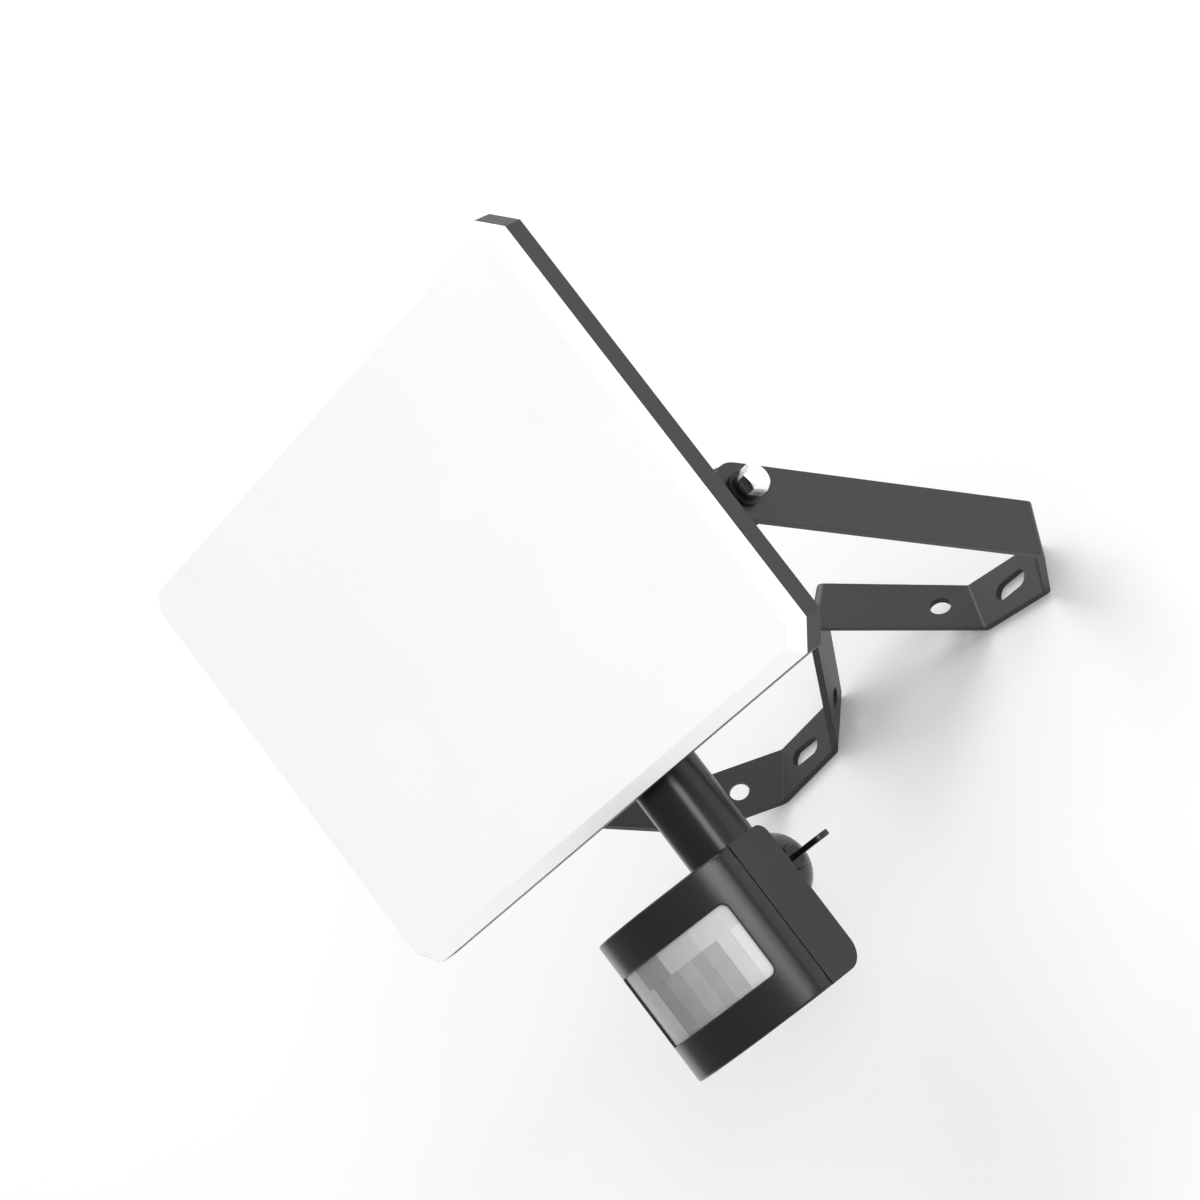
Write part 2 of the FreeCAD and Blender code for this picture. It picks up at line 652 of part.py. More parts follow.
def roundFolds(shape):
    """Rounds each fold inside and outside. The front is the inside of every fold but the notch's apex."""
    thick = size("plateThick")
    inner = size("bendRadius")
    outer = inner + thick
    middles = {}
    for depth in (0, thick):
        planes = facetPlanes(depth)
        middles[depth] = [(a + b) / 2 for a, b in zip(bandLine(planes, 1), bandLine(planes, -1))]
    apex = len(middles[0]) // 2
    others = [i for i in range(1, 2 * apex) if i != apex]
    folds = [(inner, 0, i) for i in others] + [(outer, thick, i) for i in others]
    folds += [(outer, 0, apex), (inner, thick, apex)]
    for radius, depth, i in folds:
        edge = min(shape.Edges, key=lambda e: (e.CenterOfMass - middles[depth][i]).Length)
        shape = shape.makeFillet(radius, [edge])
    return shape


def drill(shape, spot, normal, radius, slot=0.0):
    """Cuts a round hole, or a slot along X, straight through the strip."""
    reach = 4 * size("plateThick")
    way = Vec(normal)
    way.normalize()
    start = spot - way * (reach / 2)
    if slot <= 0:
        return shape.cut(Part.makeCylinder(radius, reach, start, way))
    half = slot / 2 - radius
    for offset in (-half, half):
        shape = shape.cut(Part.makeCylinder(radius, reach, start + Vec(offset, 0, 0), way))
    corner = Vec(spot.x - half, spot.y - reach / 2, spot.z - radius)
    return shape.cut(Part.makeBox(2 * half, reach, 2 * radius, corner))


def bracket():
    shape = roundFolds(bracketStrip())
    thick = size("plateThick")
    front = facetPlanes(0)
    roundEnd = size("bandHeight") / 2 * math.cos(math.radians(size("armDroop")))
    legs = [
        (size("notchHoleX"), front[4], (size("vFoldX"), size("vFoldRise")), (0, size("apexRise"))),
        (size("outerHoleX"), front[6], (size("outerFoldX"), size("outerFoldRise")), (armInner, size("armRise"))),
    ]
    for side in (-1, 1):
        start = Vec(armInner if side > 0 else -size("armOuter"), pivot.y, pivot.z)
        shape = shape.fuse(Part.makeCylinder(roundEnd, thick, start, Vec(1, 0, 0)))
        shape = drill(shape, start + Vec(thick / 2, 0, 0), Vec(1, 0, 0), size("pivotHole") / 2)
        shape = drill(shape, Vec(side * size("slotSpacing") / 2, -thick / 2, 0), Vec(0, 1, 0),
                      size("slotWidth") / 2, size("slotLength"))
        for place, (normal, at), near, far in legs:
            rise = near[1] + (far[1] - near[1]) * (place - near[0]) / (far[0] - near[0])
            depth = (at - normal.x * place - normal.z * rise) / normal.y
            way = Vec(side * normal.x, normal.y, normal.z)
            shape = drill(shape, Vec(side * place, depth, rise), way, size("cornerHole") / 2)
    item = doc.addObject("Part::Feature", "Bracket")
    item.Shape = shape.removeSplitter()
    keep(item, "wall_bracket", wallPlace)


# Pivots: a bolt, two washers and a friction disc on each side

def pivots():
    for side, name in ((1, "right"), (-1, "left")):
        turn = alongX if side > 0 else FreeCAD.Rotation(Vec(0, 1, 0), -90)
        spot = ("pivotBack", "pivotUp")

        def ring(label, node, radius, bore, start, length):
            disc = rod(label, radius, length, ("%d * (%s)" % (side, start),) + spot, turn)
            hole = rod(label + "Bore", bore, length + " + 2", ("%d * (%s - 1)" % (side, start),) + spot, turn)
            keep(cut(label + "Ring", disc, [hole]), node)

        ring("Pad" + name, "friction_disc_" + name, "lugRound - 1", "threadHole / 2", lugFace, "padThick")
        ring("Flat" + name, "flat_washer_" + name, "flatWasher / 2", "boltShank / 2", "armOuter", "flatWasherThick")
        ring("Spring" + name, "spring_washer_" + name, "springWasher / 2", "boltShank / 2",
             "armOuter + flatWasherThick", "springWasherThick")
        under = "(armOuter + flatWasherThick + springWasherThick)"
        head = hexagon("BoltHead" + name, "boltHead", "boltHeadHeight", ("%d * %s" % (side, under),) + spot, turn)
        trim = doc.addObject("Part::Cone", "BoltTrim" + name)
        trim.setExpression("Radius1", bind("boltHead * 0.5774 + boltHeadHeight"))
        trim.setExpression("Radius2", bind("boltHead * 0.47"))
        trim.setExpression("Height", bind("boltHeadHeight"))
        move(trim, ("%d * %s" % (side, under),) + spot, turn)
        start = "(%s - lugThick - 2)" % lugFace
        shank = rod("BoltShank" + name, "boltShank / 2", under + " - " + start, ("%d * %s" % (side, start),) + spot, turn)
        keep(fuse("Bolt" + name, [common("BoltCap" + name, [head, trim]), shank]), "pivot_bolt_" + name)


# Neck: a tube with a strip let into its back, a nut on top and the knuckle's swivel below

def neck():
    centre = ("0", "neckBack")
    length = "(boxLow - neckEnd)"
    tube = rod("NeckTube", "neckRadius", length, centre + ("neckEnd",))
    spigot = rod("NeckSpigot", "spigotRadius", "spigotLength + 1", centre + ("boxLow - 1",))
    hollow = rod("NeckHollow", "neckRadius - neckWall", length + " - 2 * neckFloor", centre + ("neckEnd + neckFloor",))
    wireWay = rod("NeckWireWay", "spigotRadius - 2", "spigotLength + 2 * neckFloor", centre + ("boxLow - neckFloor - 1",))
    swivelWay = rod("NeckSwivelWay", "swivelRadius + turnGap", "neckFloor + 2", centre + ("neckEnd - 1",))
    whole = fuse("NeckSolid", [tube, spigot])
    window = box("NeckWindow", ("2 * neckRadius + 2", "neckRadius + 1", length + " - 2 * neckFloor"),
                 ("-neckRadius - 1", "neckBack + neckSeam", "neckEnd + neckFloor"))
    keep(cut("Neck", whole, [hollow, wireWay, swivelWay, window]), "sensor_neck")
    strip = rod("StripOuter", "neckRadius - seamStep", length + " - 2 * neckFloor", centre + ("neckEnd + neckFloor",))
    keepBack = box("StripBack", ("2 * neckRadius + 2", "neckRadius + 1", length),
                   ("-neckRadius - 1", "neckBack + neckSeam", "neckEnd"))
    inside = rod("StripInside", "neckRadius - neckWall", length, centre + ("neckEnd",))
    keep(cut("NeckStrip", common("StripHalf", [strip, keepBack]), [inside]), "neck_rear_strip")
    nut = rod("NeckNutDisc", "neckNut", "3.5", centre + ("boxLow + boxWall",))
    nutBore = rod("NeckNutBore", "spigotRadius", "6", centre + ("boxLow + boxWall - 1",))
    keep(cut("NeckNut", nut, [nutBore]), "neck_nut")


def knuckle():
    centre = ("0", "neckBack")
    top = "(neckEnd - knuckleGap)"
    drum = rod("KnuckleDrum", "neckRadius", "10", centre + (top + " - 10",))
    core = ball("KnuckleBall", "knuckleRadius", ("0", "knuckleBack", "knuckleLow"), alongX)
    swivel = rod("KnuckleSwivel", "swivelRadius", "neckFloor + knuckleGap + 3", centre + (top + " - 1",))
    wireWay = rod("KnuckleWireWay", "swivelRadius - 3", "16", centre + (top + " - 11",))
    clear = "(tongueRadius + tongueGap)"
    half = "(tongueThick / 2 + tongueGap)"
    slotFront = box("TongueSlot", ("2 * " + half, "knuckleBack + neckRadius", "knuckleRadius + " + clear),
                    ("-" + half, "-neckRadius", "knuckleLow - knuckleRadius"))
    slotEnd = rod("TongueSlotEnd", clear, "2 * " + half, ("-" + half, "knuckleBack", "knuckleLow"), alongX)
    screwWay = rod("ScrewWay", "screwShank / 2 + turnGap", "4 * knuckleRadius",
                   ("-2 * knuckleRadius", "knuckleBack", "knuckleLow"), alongX)
    nutWay = rod("NutWay", "nutFlats * 0.5774 + fitGap", "knuckleRadius",
                 ("-2 * knuckleRadius + nutThick", "knuckleBack", "knuckleLow"), alongX)
    screwFace = rod("ScrewFace", "wingCollar + fitGap", "knuckleRadius",
                    ("knuckleRadius - collarSink", "knuckleBack", "knuckleLow"), alongX)
    reach = "(knuckleRadius + 2)"
    swing = FreeCAD.Rotation(Vec(1, 0, 0), size("headTilt"))
    slotSwung = box("TongueSlotSwung", ("2 * " + half, reach, "2 * " + clear), (
        "-" + half,
        "knuckleBack - %s * cos(headTilt) + %s * sin(headTilt)" % (reach, clear),
        "knuckleLow - %s * sin(headTilt) - %s * cos(headTilt)" % (reach, clear)), swing)
    above = box("AboveKnuckle", ("4 * knuckleRadius", "4 * knuckleRadius", "knuckleRadius"),
                ("-2 * knuckleRadius", "neckBack - 2 * knuckleRadius", top))
    trimmed = cut("KnuckleTrimmed", core, [above])
    solid = fuse("KnuckleSolid", [drum, trimmed, swivel])
    slotted = cut("KnuckleSlotted", solid, [wireWay, slotFront, slotEnd, slotSwung])
    faced = cut("KnuckleFaced", slotted, [nutWay])
    seated = cut("KnuckleSeated", faced, [screwFace])
    keep(cut("Knuckle", seated, [screwWay]), "sensor_knuckle")
    ring = rod("SwivelRingDisc", "neckRadius - neckWall - 0.4", "1.2", centre + ("neckEnd + neckFloor + 0.2",))
    ringBore = rod("SwivelRingBore", "swivelRadius", "3", centre + ("neckEnd + neckFloor - 1",))
    keep(cut("SwivelRing", ring, [ringBore]), "swivel_ring")
    nut = hexagon("ClampNutHex", "nutFlats", "nutThick", ("-knuckleRadius", "knuckleBack", "knuckleLow"), alongX)
    nutBore = rod("ClampNutBore", "screwShank / 2 + turnGap", "nutThick + 2",
                  ("-knuckleRadius - 1", "knuckleBack", "knuckleLow"), alongX)
    keep(cut("ClampNut", nut, [nutBore]), "clamp_nut")
    shank = rod("WingShank", "screwShank / 2", "knuckleRadius + wingStart + 2",
                ("-knuckleRadius", "knuckleBack", "knuckleLow"), alongX)
    collar = rod("WingCollarRod", "wingCollar", "wingStart - knuckleRadius + collarSink + 1.5",
                 ("knuckleRadius - collarSink", "knuckleBack", "knuckleLow"), alongX)
    blade = box("WingBlade", ("wingLength", "wingWidth", "wingThick"),
                ("wingStart", "knuckleBack - wingWidth / 2", "knuckleLow - wingThick / 2"))
    keep(fuse("WingScrew", [shank, collar, blade]), "wing_screw")


# Sensor head: two shells, the curved lens and the electronics

headLow = "(headTop - headHeight)"
headMiddle = "(headTop - headHeight / 2)"


def headCorners():
    return [(across, up) for across in ("-headScrewX", "headScrewX")
            for up in ("(headTop - headScrewInset)", "(%s + headScrewInset)" % headLow)]


def frontBlock(name, inset, rounding):
    """The head's curved front half, drawn in by inset."""
    slab = box(name + "Slab", ("headWidth - 2 * (%s)" % inset, "headCurve + headSeam - headCurveBack",
                               "headHeight - 2 * (%s)" % inset),
               ("-headWidth / 2 + (%s)" % inset, "headCurveBack - headCurve", headLow + " + (%s)" % inset))
    drum = rod(name + "Drum", "headCurve - (%s)" % inset, "headHeight", ("0", "headCurveBack", headLow))
    half = common(name + "Half", [slab, drum])
    return roundEdges(name, half, rounding,
                      lambda e: spans(e, "z") and e.BoundBox.YMax < size("headSeam") - 0.5)


def windowBlock(name, grow, near, far):
    """The lens window's rounded outline, as a block from near to far in front of the head."""
    block = box(name + "Block", ("windowWidth + 2 * (%s)" % grow, "(%s) - (%s)" % (far, near),
                                 "windowHeight + 2 * (%s)" % grow),
                ("-windowWidth / 2 - (%s)" % grow, near, "windowTop - windowHeight - (%s)" % grow))
    return roundEdges(name, block, "windowRound", lambda e: spans(e, "y"))


def headFront():
    outer = frontBlock("FrontOuter", "0", "headCorner")
    inner = frontBlock("FrontInner", "headWall", "headCorner")
    window = windowBlock("WindowCut", "0", "headCurveBack - headCurve - 1", "headSeam")
    hollow = cut("HeadFrontHollow", outer, [inner, window])
    posts = []
    for i, (across, up) in enumerate(headCorners()):
        post = rod("FrontPost%d" % i, "headPost", "11", (across, "headSeam - 11", up), alongY)
        pilot = rod("FrontPilot%d" % i, "headScrew / 2 - 0.1", "9", (across, "headSeam - 8", up), alongY)
        posts.append(cut("FrontBoss%d" % i, post, [pilot]))
    keep(fuse("HeadFront", [hollow] + posts), "sensor_front_shell")


def headRear():
    depth = "(headRear - headSeam)"
    block = box("RearBlock", ("headWidth", depth, "headHeight"), ("-headWidth / 2", "headSeam", headLow))
    rear = size("headRear")
    low = size("headTop") - size("headHeight")

    def lowerRear(e):
        return spans(e, "x") and e.BoundBox.YMin > rear - 0.1 and e.BoundBox.ZMax < low + 0.1

    def upperRear(e):
        return spans(e, "x") and e.BoundBox.YMin > rear - 0.1 and e.BoundBox.ZMin > size("headTop") - 0.1

    lowRound = roundEdges("RearLowRound", block, "headRearRound", lowerRear)
    outer = roundEdges("RearTopRound", lowRound, "headTopRound", upperRear)
    hollow = box("RearHollow", ("headWidth - 2 * headWall", depth, "headHeight - 2 * headWall"),
                 ("-headWidth / 2 + headWall", "headSeam - headWall", headLow + " + headWall"))
    hollowRound = roundEdges("RearHollowRound", hollow, "headRearRound",
                             lambda e: spans(e, "x") and e.BoundBox.YMin > rear - size("headWall") - 0.1
                             and e.BoundBox.ZMax < low + size("headWall") + 0.1)
    shell = cut("RearShell", outer, [hollowRound])
    posts = [rod("RearPost%d" % i, "headPost", depth + " - 1", (a, "headSeam", u), alongY)
             for i, (a, u) in enumerate(headCorners())]
    stands = [rod("BoardPost%d" % i, "2.6", "headRear - 1 - sensorBoardBack - boardThick",
                  (a, "sensorBoardBack + boardThick", u), alongY)
              for i, (a, u) in enumerate((a, headMiddle + u) for a in ("-sensorBoardWidth / 2 + 4", "sensorBoardWidth / 2 - 4")
                                         for u in (" + sensorBoardHeight / 2 - 4", " - sensorBoardHeight / 2 + 4"))]
    arm = box("TongueArm", ("tongueThick", "knuckleBack - headRear + 1", "2 * tongueRadius"),
              ("-tongueThick / 2", "headRear - 1", "knuckleLow - tongueRadius"))
    end = rod("TongueEnd", "tongueRadius", "tongueThick", ("-tongueThick / 2", "knuckleBack", "knuckleLow"), alongX)
    solid = fuse("RearSolid", [shell, arm, end] + posts + stands)
    bore = rod("TongueBore", "screwShank / 2 + turnGap", "tongueThick + 2",
               ("-tongueThick / 2 - 1", "knuckleBack", "knuckleLow"), alongX)
    holes = [rod("RearHole%d" % i, "headScrew / 2 + 0.1", depth + " + 2", (a, "headSeam - 1", u), alongY)
             for i, (a, u) in enumerate(headCorners())]
    sinks = [rod("RearSink%d" % i, "headScrew", "4", (a, "headRear - 2.4", u), alongY)
             for i, (a, u) in enumerate(headCorners())]
    keep(cut("HeadRear", solid, [bore] + holes + sinks), "sensor_rear_shell")


def headLens():
    def curvedSheet(name, radius, thick, outlineBlock):
        outer = rod(name + "Outer", radius, "headHeight", ("0", "headCurveBack", headLow))
        inner = rod(name + "Inner", "(%s) - (%s)" % (radius, thick), "headHeight + 2", ("0", "headCurveBack", headLow + " - 1"))
        return cut(name, common(name + "Common", [outer, outlineBlock]), [inner])

    pane = curvedSheet("LensPane", "headCurve - lensSink", "headWall - lensSink + lensThick",
                       windowBlock("PaneOutline", "-0.15", "headCurveBack - headCurve", "headSeam"))
    flange = curvedSheet("LensFlange", "headCurve - headWall", "lensThick",
                         windowBlock("FlangeOutline", "lensFlange", "headCurveBack - headCurve", "headSeam"))
    keep(fuse("Lens", [pane, flange]), "sensor_lens")


def headInside():
    keep(box("SensorBoard", ("sensorBoardWidth", "boardThick", "sensorBoardHeight"),
             ("-sensorBoardWidth / 2", "sensorBoardBack", headMiddle + " - sensorBoardHeight / 2")), "sensor_board")
    can = rod("PyroCan", "4.1", "4.2", ("0", "sensorBoardBack - 4.2", headMiddle), alongY)
    base = rod("PyroBase", "4.6", "1", ("0", "sensorBoardBack - 1", headMiddle), alongY)
    keep(fuse("Pyro", [can, base]), "motion_detector")
    keep(rod("LightCell", "2.5", "3", ("-14", "sensorBoardBack - 3", headMiddle + " + 8"), alongY), "light_cell")
    screws = []
    for i, (across, up) in enumerate(headCorners()):
        head = rod("HeadScrewHead%d" % i, "headScrew - 0.1", "1.8", (across, "headRear - 2.4", up), alongY)
        shank = rod("HeadScrewShank%d" % i, "headScrew / 2 - 0.1", "headRear - 2.4 - headSeam + 7",
                    (across, "headSeam - 7", up), alongY)
        screws.append(fuse("HeadScrew%d" % i, [head, shank]))
    keep(group("HeadScrews", screws), "sensor_screws")


rearHousing()
driverCover()
coverScrews()
opalFront()
lightBoard()
driver()
gland()
ventPlug()
bracket()
pivots()
neck()
knuckle()
headFront()
headRear()
headLens()
headInside()
doc.recompute()

for item in doc.Objects:
    if "Invalid" in item.State or "Error" in item.State:
        raise RuntimeError("%s did not build: %s" % (item.Name, item.State))
for item in parts:
    if item.Shape.isNull() or not item.Shape.isValid():
        raise RuntimeError("%s has no valid shape" % item.Label)

os.makedirs("parts", exist_ok=True)
for item in parts:
    item.Shape.exportStep("parts/%s.step" % item.Label)
    print("%-22s %d solids, %.1f mm3" % (item.Label, len(item.Shape.Solids), item.Shape.Volume))
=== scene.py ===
import json
import math

import bpy
import numpy as np
from mathutils import Matrix, Vector


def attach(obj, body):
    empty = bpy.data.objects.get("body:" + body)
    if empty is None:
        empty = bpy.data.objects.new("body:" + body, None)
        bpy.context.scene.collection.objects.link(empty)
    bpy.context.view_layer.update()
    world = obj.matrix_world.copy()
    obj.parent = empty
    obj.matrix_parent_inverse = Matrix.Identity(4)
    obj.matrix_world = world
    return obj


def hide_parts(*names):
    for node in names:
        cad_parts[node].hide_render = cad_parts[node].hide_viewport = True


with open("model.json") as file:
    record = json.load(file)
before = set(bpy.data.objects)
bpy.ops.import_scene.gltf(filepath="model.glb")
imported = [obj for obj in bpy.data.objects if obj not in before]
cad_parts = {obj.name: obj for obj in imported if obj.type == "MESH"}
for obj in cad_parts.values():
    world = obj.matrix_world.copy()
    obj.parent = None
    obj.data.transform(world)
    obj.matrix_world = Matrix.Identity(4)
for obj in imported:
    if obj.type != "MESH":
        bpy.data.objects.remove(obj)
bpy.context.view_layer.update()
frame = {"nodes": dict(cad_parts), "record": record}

nodes = frame["nodes"]
mm = 0.001
print("frame loaded:", len(nodes), "nodes")

# The lamp's own frame as in the part: X across, back from the rim's front edge, up from its lower edge.
lamp = {
    "tilt": math.radians(42),
    "pivot": (0, -159.0, -38.9825),
    "pivotBack": 34.0,
    "pivotUp": 59.0,
}


def lampPoint(across, back, up):
    # turned by the tilt about the pivot: y' = y cos t - z sin t, z' = y sin t + z cos t
    turnCos, turnSin = math.cos(lamp["tilt"]), math.sin(lamp["tilt"])
    away = np.asarray(back, float) - lamp["pivotBack"]
    rise = np.asarray(up, float) - lamp["pivotUp"]
    across = np.asarray(across, float) + 0 * away + 0 * rise
    depth = lamp["pivot"][1] + away * turnCos - rise * turnSin
    height = lamp["pivot"][2] + away * turnSin + rise * turnCos
    return np.stack([across, depth + 0 * across, height + 0 * across], axis=-1) * mm


# Shader maths
softEdge = 0.0003  # how far the coats round sharp edges in their shading


def grey(level):
    return (level, level, level)


class Value:
    # one value inside a shader: sums and products of values make their own nodes
    def __init__(self, tree, socket):
        self.tree = tree
        self.socket = socket

    def node(self, kind, inputs, output=0, **settings):
        made = self.tree.nodes.new(kind)
        for name, setting in settings.items():
            setattr(made, name, setting)
        for key, value in inputs.items():
            if isinstance(value, Value):
                self.tree.links.new(value.socket, made.inputs[key])
            else:
                made.inputs[key].default_value = value
        return Value(self.tree, made.outputs[output])

    def maths(self, operation, first, second=0.0, clamp=False):
        return self.node("ShaderNodeMath", {0: first, 1: second}, operation=operation, use_clamp=clamp)

    def __add__(self, other):
        return self.maths("ADD", self, other)

    def __radd__(self, other):
        return self.maths("ADD", other, self)

    def __sub__(self, other):
        return self.maths("SUBTRACT", self, other)

    def __rsub__(self, other):
        return self.maths("SUBTRACT", other, self)

    def __mul__(self, other):
        return self.maths("MULTIPLY", self, other)

    def __rmul__(self, other):
        return self.maths("MULTIPLY", other, self)

    def __truediv__(self, other):
        return self.maths("DIVIDE", self, other)

    def __rtruediv__(self, other):
        return self.maths("DIVIDE", other, self)

    def sine(self):
        return self.maths("SINE", self)

    def floor(self):
        return self.maths("FLOOR", self)

    def above(self, limit):
        return self.maths("GREATER_THAN", self, limit)

    def along(self, direction):
        return self.node("ShaderNodeVectorMath", {0: self, 1: direction}, "Value", operation="DOT_PRODUCT")

    def stretched(self, scale):
        return self.node("ShaderNodeVectorMath", {0: self, 1: scale}, operation="MULTIPLY")

    def noise(self, size, detail=3.0, rough=0.5):
        return self.node("ShaderNodeTexNoise", {
            "Vector": self, "Scale": 1 / size, "Detail": detail, "Roughness": rough}, "Fac")

    def tint(self, dark, light):
        return self.node("ShaderNodeMix", {
            "Factor": self, 6: (*dark, 1), 7: (*light, 1)}, 2, data_type="RGBA")


def newMaterial(name, roughness, metallic, extra=None):
    # gives the material, its shader and the place on the object
    material = bpy.data.materials.new(name)
    material.use_nodes = True
    tree = material.node_tree
    shader = tree.nodes["Principled BSDF"]
    shader.inputs["Roughness"].default_value = roughness
    shader.inputs["Metallic"].default_value = metallic
    for key, value in (extra or {}).items():
        shader.inputs[key].default_value = value
    place = tree.nodes.new("ShaderNodeTexCoord")
    return material, shader, Value(tree, place.outputs["Object"])


def drive(shader, inputs):
    for key, value in inputs.items():
        value.tree.links.new(value.socket, shader.inputs[key])


def bumped(height, depth, base=None):
    inputs = {"Strength": 1.0, "Distance": depth, "Height": height}
    if base is not None:
        inputs["Normal"] = base
    return height.node("ShaderNodeBump", inputs)


def coated(name, look):
    # powder coat and moulded plastic: a fine grain, slow patches of shade and a few specks
    material, shader, place = newMaterial(name, look["roughness"], look.get("metallic", 0.0))
    patch = place.noise(look["patch"], 3.0)
    grain = place.noise(look["grain"], 2.0)
    peel = place.noise(look["grain"] * 7, 2.0)
    speck = place.noise(look["grain"] * 3, 1.0).above(0.72)
    shade = patch * look["spread"] + speck * look["specks"]
    edge = place.node("ShaderNodeBevel", {"Radius": softEdge}, samples=4)
    drive(shader, {
        "Base Color": shade.tint(look["dark"], look["light"]),
        "Roughness": (patch + grain) * look["roughSpread"] + (look["roughness"] - look["roughSpread"]),
        "Normal": bumped(grain + peel * 1.5, look["depth"], edge),
    })
    return material


def plated(name, look):
    # bright metal with fine drawn lines and faint smudges
    material, shader, place = newMaterial(name, look["roughness"], 1.0)
    lines = place.stretched((60.0, 1.0, 1.0)).noise(look["line"], 2.0)
    smudge = place.noise(0.004, 4.0)
    drive(shader, {
        "Base Color": (smudge * 0.8).tint(look["dark"], look["light"]),
        "Roughness": smudge * 0.25 + lines * 0.1 + (look["roughness"] - 0.15),
        "Normal": bumped(lines, look["depth"]),
    })
    return material


def circuit(name, look):
    # solder resist over copper tracks, which stand a little proud
    material, shader, place = newMaterial(name, 0.35, 0.0)
    tracks = place.noise(0.0035, 0.0).above(0.55)
    pads = place.noise(0.0011, 0.0).above(0.7)
    tone = tracks * 0.5 + pads * 0.5
    drive(shader, {
        "Base Color": tone.tint(look["dark"], look["light"]),
        "Roughness": tracks * -0.08 + 0.38,
        "Normal": bumped(tracks, 0.00004),
    })
    return material


materials = {
    "bracket_paint": coated("bracketPaint", {
        "dark": grey(0.016), "light": grey(0.027), "roughness": 0.45, "roughSpread": 0.05,
        "patch": 0.03, "grain": 0.0005, "depth": 0.00002, "spread": 0.8, "specks": 0.35}),
    "housing_paint": coated("housingPaint", {
        "dark": grey(0.018), "light": grey(0.030), "roughness": 0.43, "roughSpread": 0.05,
        "patch": 0.04, "grain": 0.0006, "depth": 0.00003, "spread": 0.8, "specks": 0.35}),
    "black_steel": coated("blackSteel", {
        "dark": grey(0.008), "light": grey(0.02), "roughness": 0.45, "roughSpread": 0.1,
        "metallic": 0.4, "patch": 0.003, "grain": 0.0003, "depth": 0.00002, "spread": 0.9, "specks": 0.4}),
    "black_plastic": coated("blackPlastic", {
        "dark": grey(0.010), "light": grey(0.015), "roughness": 0.23, "roughSpread": 0.04,
        "patch": 0.02, "grain": 0.00035, "depth": 0.000012, "spread": 0.9, "specks": 0.2}),
    "white_plastic": coated("whitePlastic", {
        "dark": (0.72, 0.72, 0.70), "light": (0.82, 0.82, 0.80), "roughness": 0.45, "roughSpread": 0.05,
        "patch": 0.01, "grain": 0.0004, "depth": 0.00002, "spread": 0.9, "specks": 0.1}),
    "seal_rubber": coated("sealRubber", {
        "dark": grey(0.012), "light": grey(0.03), "roughness": 0.75, "roughSpread": 0.08,
        "patch": 0.006, "grain": 0.0004, "depth": 0.00005, "spread": 0.8, "specks": 0.5}),
    "board_aluminium": coated("boardLacquer", {
        "dark": grey(0.78), "light": grey(0.88), "roughness": 0.4, "roughSpread": 0.05,
        "patch": 0.02, "grain": 0.0005, "depth": 0.00001, "spread": 0.9, "specks": 0.1}),
    "diode": coated("diodePhosphor", {
        "dark": (0.72, 0.55, 0.10), "light": (0.90, 0.75, 0.22), "roughness": 0.35, "roughSpread": 0.05,
        "patch": 0.001, "grain": 0.0002, "depth": 0.00001, "spread": 0.9, "specks": 0.2}),
    "can_aluminium": plated("canAluminium", {
        "dark": (0.42, 0.42, 0.44), "light": (0.62, 0.62, 0.64), "roughness": 0.35, "line": 0.002,
        "depth": 0.00001}),
    "bright_steel": plated("brightSteel", {
        "dark": grey(0.86), "light": grey(0.97), "roughness": 0.24, "line": 0.0015, "depth": 0.000004}),
    "board": circuit("boardGreen", {"dark": (0.010, 0.10, 0.045), "light": (0.04, 0.24, 0.10)}),
}


def opalMaterial():
    # The diffuser glows a little, as it does in the photograph, where it is as bright as the wall.
    material, shader, place = newMaterial("opal", 0.42, 0.0, {"Emission Strength": 0.36})
    cloud = place.noise(0.05, 2.0)
    drive(shader, {
        "Base Color": cloud.tint(grey(0.90), grey(0.94)),
        "Emission Color": cloud.tint(grey(0.94), (1.0, 1.0, 1.0)),
        "Roughness": cloud * 0.06 + 0.4,
        "Normal": bumped(place.noise(0.0006, 2.0), 0.000006),
    })
    return material


materials["opal"] = opalMaterial()


# Lens: milky film moulded into blocks; each block has its own tilt and fine arc-shaped grooves, and a painted
# shade: one grey per block, lit or shaded, standing in for how light falls on its facet
lens = {
    "radius": 45.2,
    "centreBack": 20.0,
    "halfChord": 31.75,
    "top": -47.55,
    "height": 29.7,
    "corner": 2.85,
    "rim": 1.1,
    "below": 0.35,
    "film": 1.55,
    "sink": 1.2,
    "rowSplit": 0.30,
    "upper": (0.0, 0.29, 0.52, 0.75, 1.0),
    "lower": (0.0, 0.335, 0.455, 0.57, 0.665, 0.755, 0.845, 0.925, 1.0),
    "tilt": 0.55,
    "step": 0.10,
    "grid": (260, 132),
    # painted shade: greys for lit and shaded copies of the one film, standing in for how light falls on each
    # block's facet
    "litAndShadedGreys": (0.37, 0.43, 0.50, 0.61, 0.69, 0.82),
    "upperBlockShades": (3, 0, 3, 4),
    "lowerBlockShades": (3, 0, 1, 2, 1, 2, 4, 5),
}


def paintedShadeLensFilm(name, tone):
    material, shader, place = newMaterial(name, 0.38, 0.0)
    up = place.along((0, -math.sin(lamp["tilt"]), math.cos(lamp["tilt"])))
    across = place.along((1, 0, 0))
    # grooves: the sine of the squared distance from the lamp's middle, across and up
    groove = ((across * across + up * up) * 90000.0).sine()
    cloud = place.noise(0.006, 3.0)
    drive(shader, {
        # painted shade: the block's grey, lit or shaded, stands in for the light on its facet
        "Base Color": cloud.tint(grey(tone - 0.03), grey(tone + 0.04)),
        "Roughness": cloud * 0.12 + 0.32,
        "Normal": bumped(groove * 0.4 + place.noise(0.0007, 2.0), 0.00002),
    })
    return material


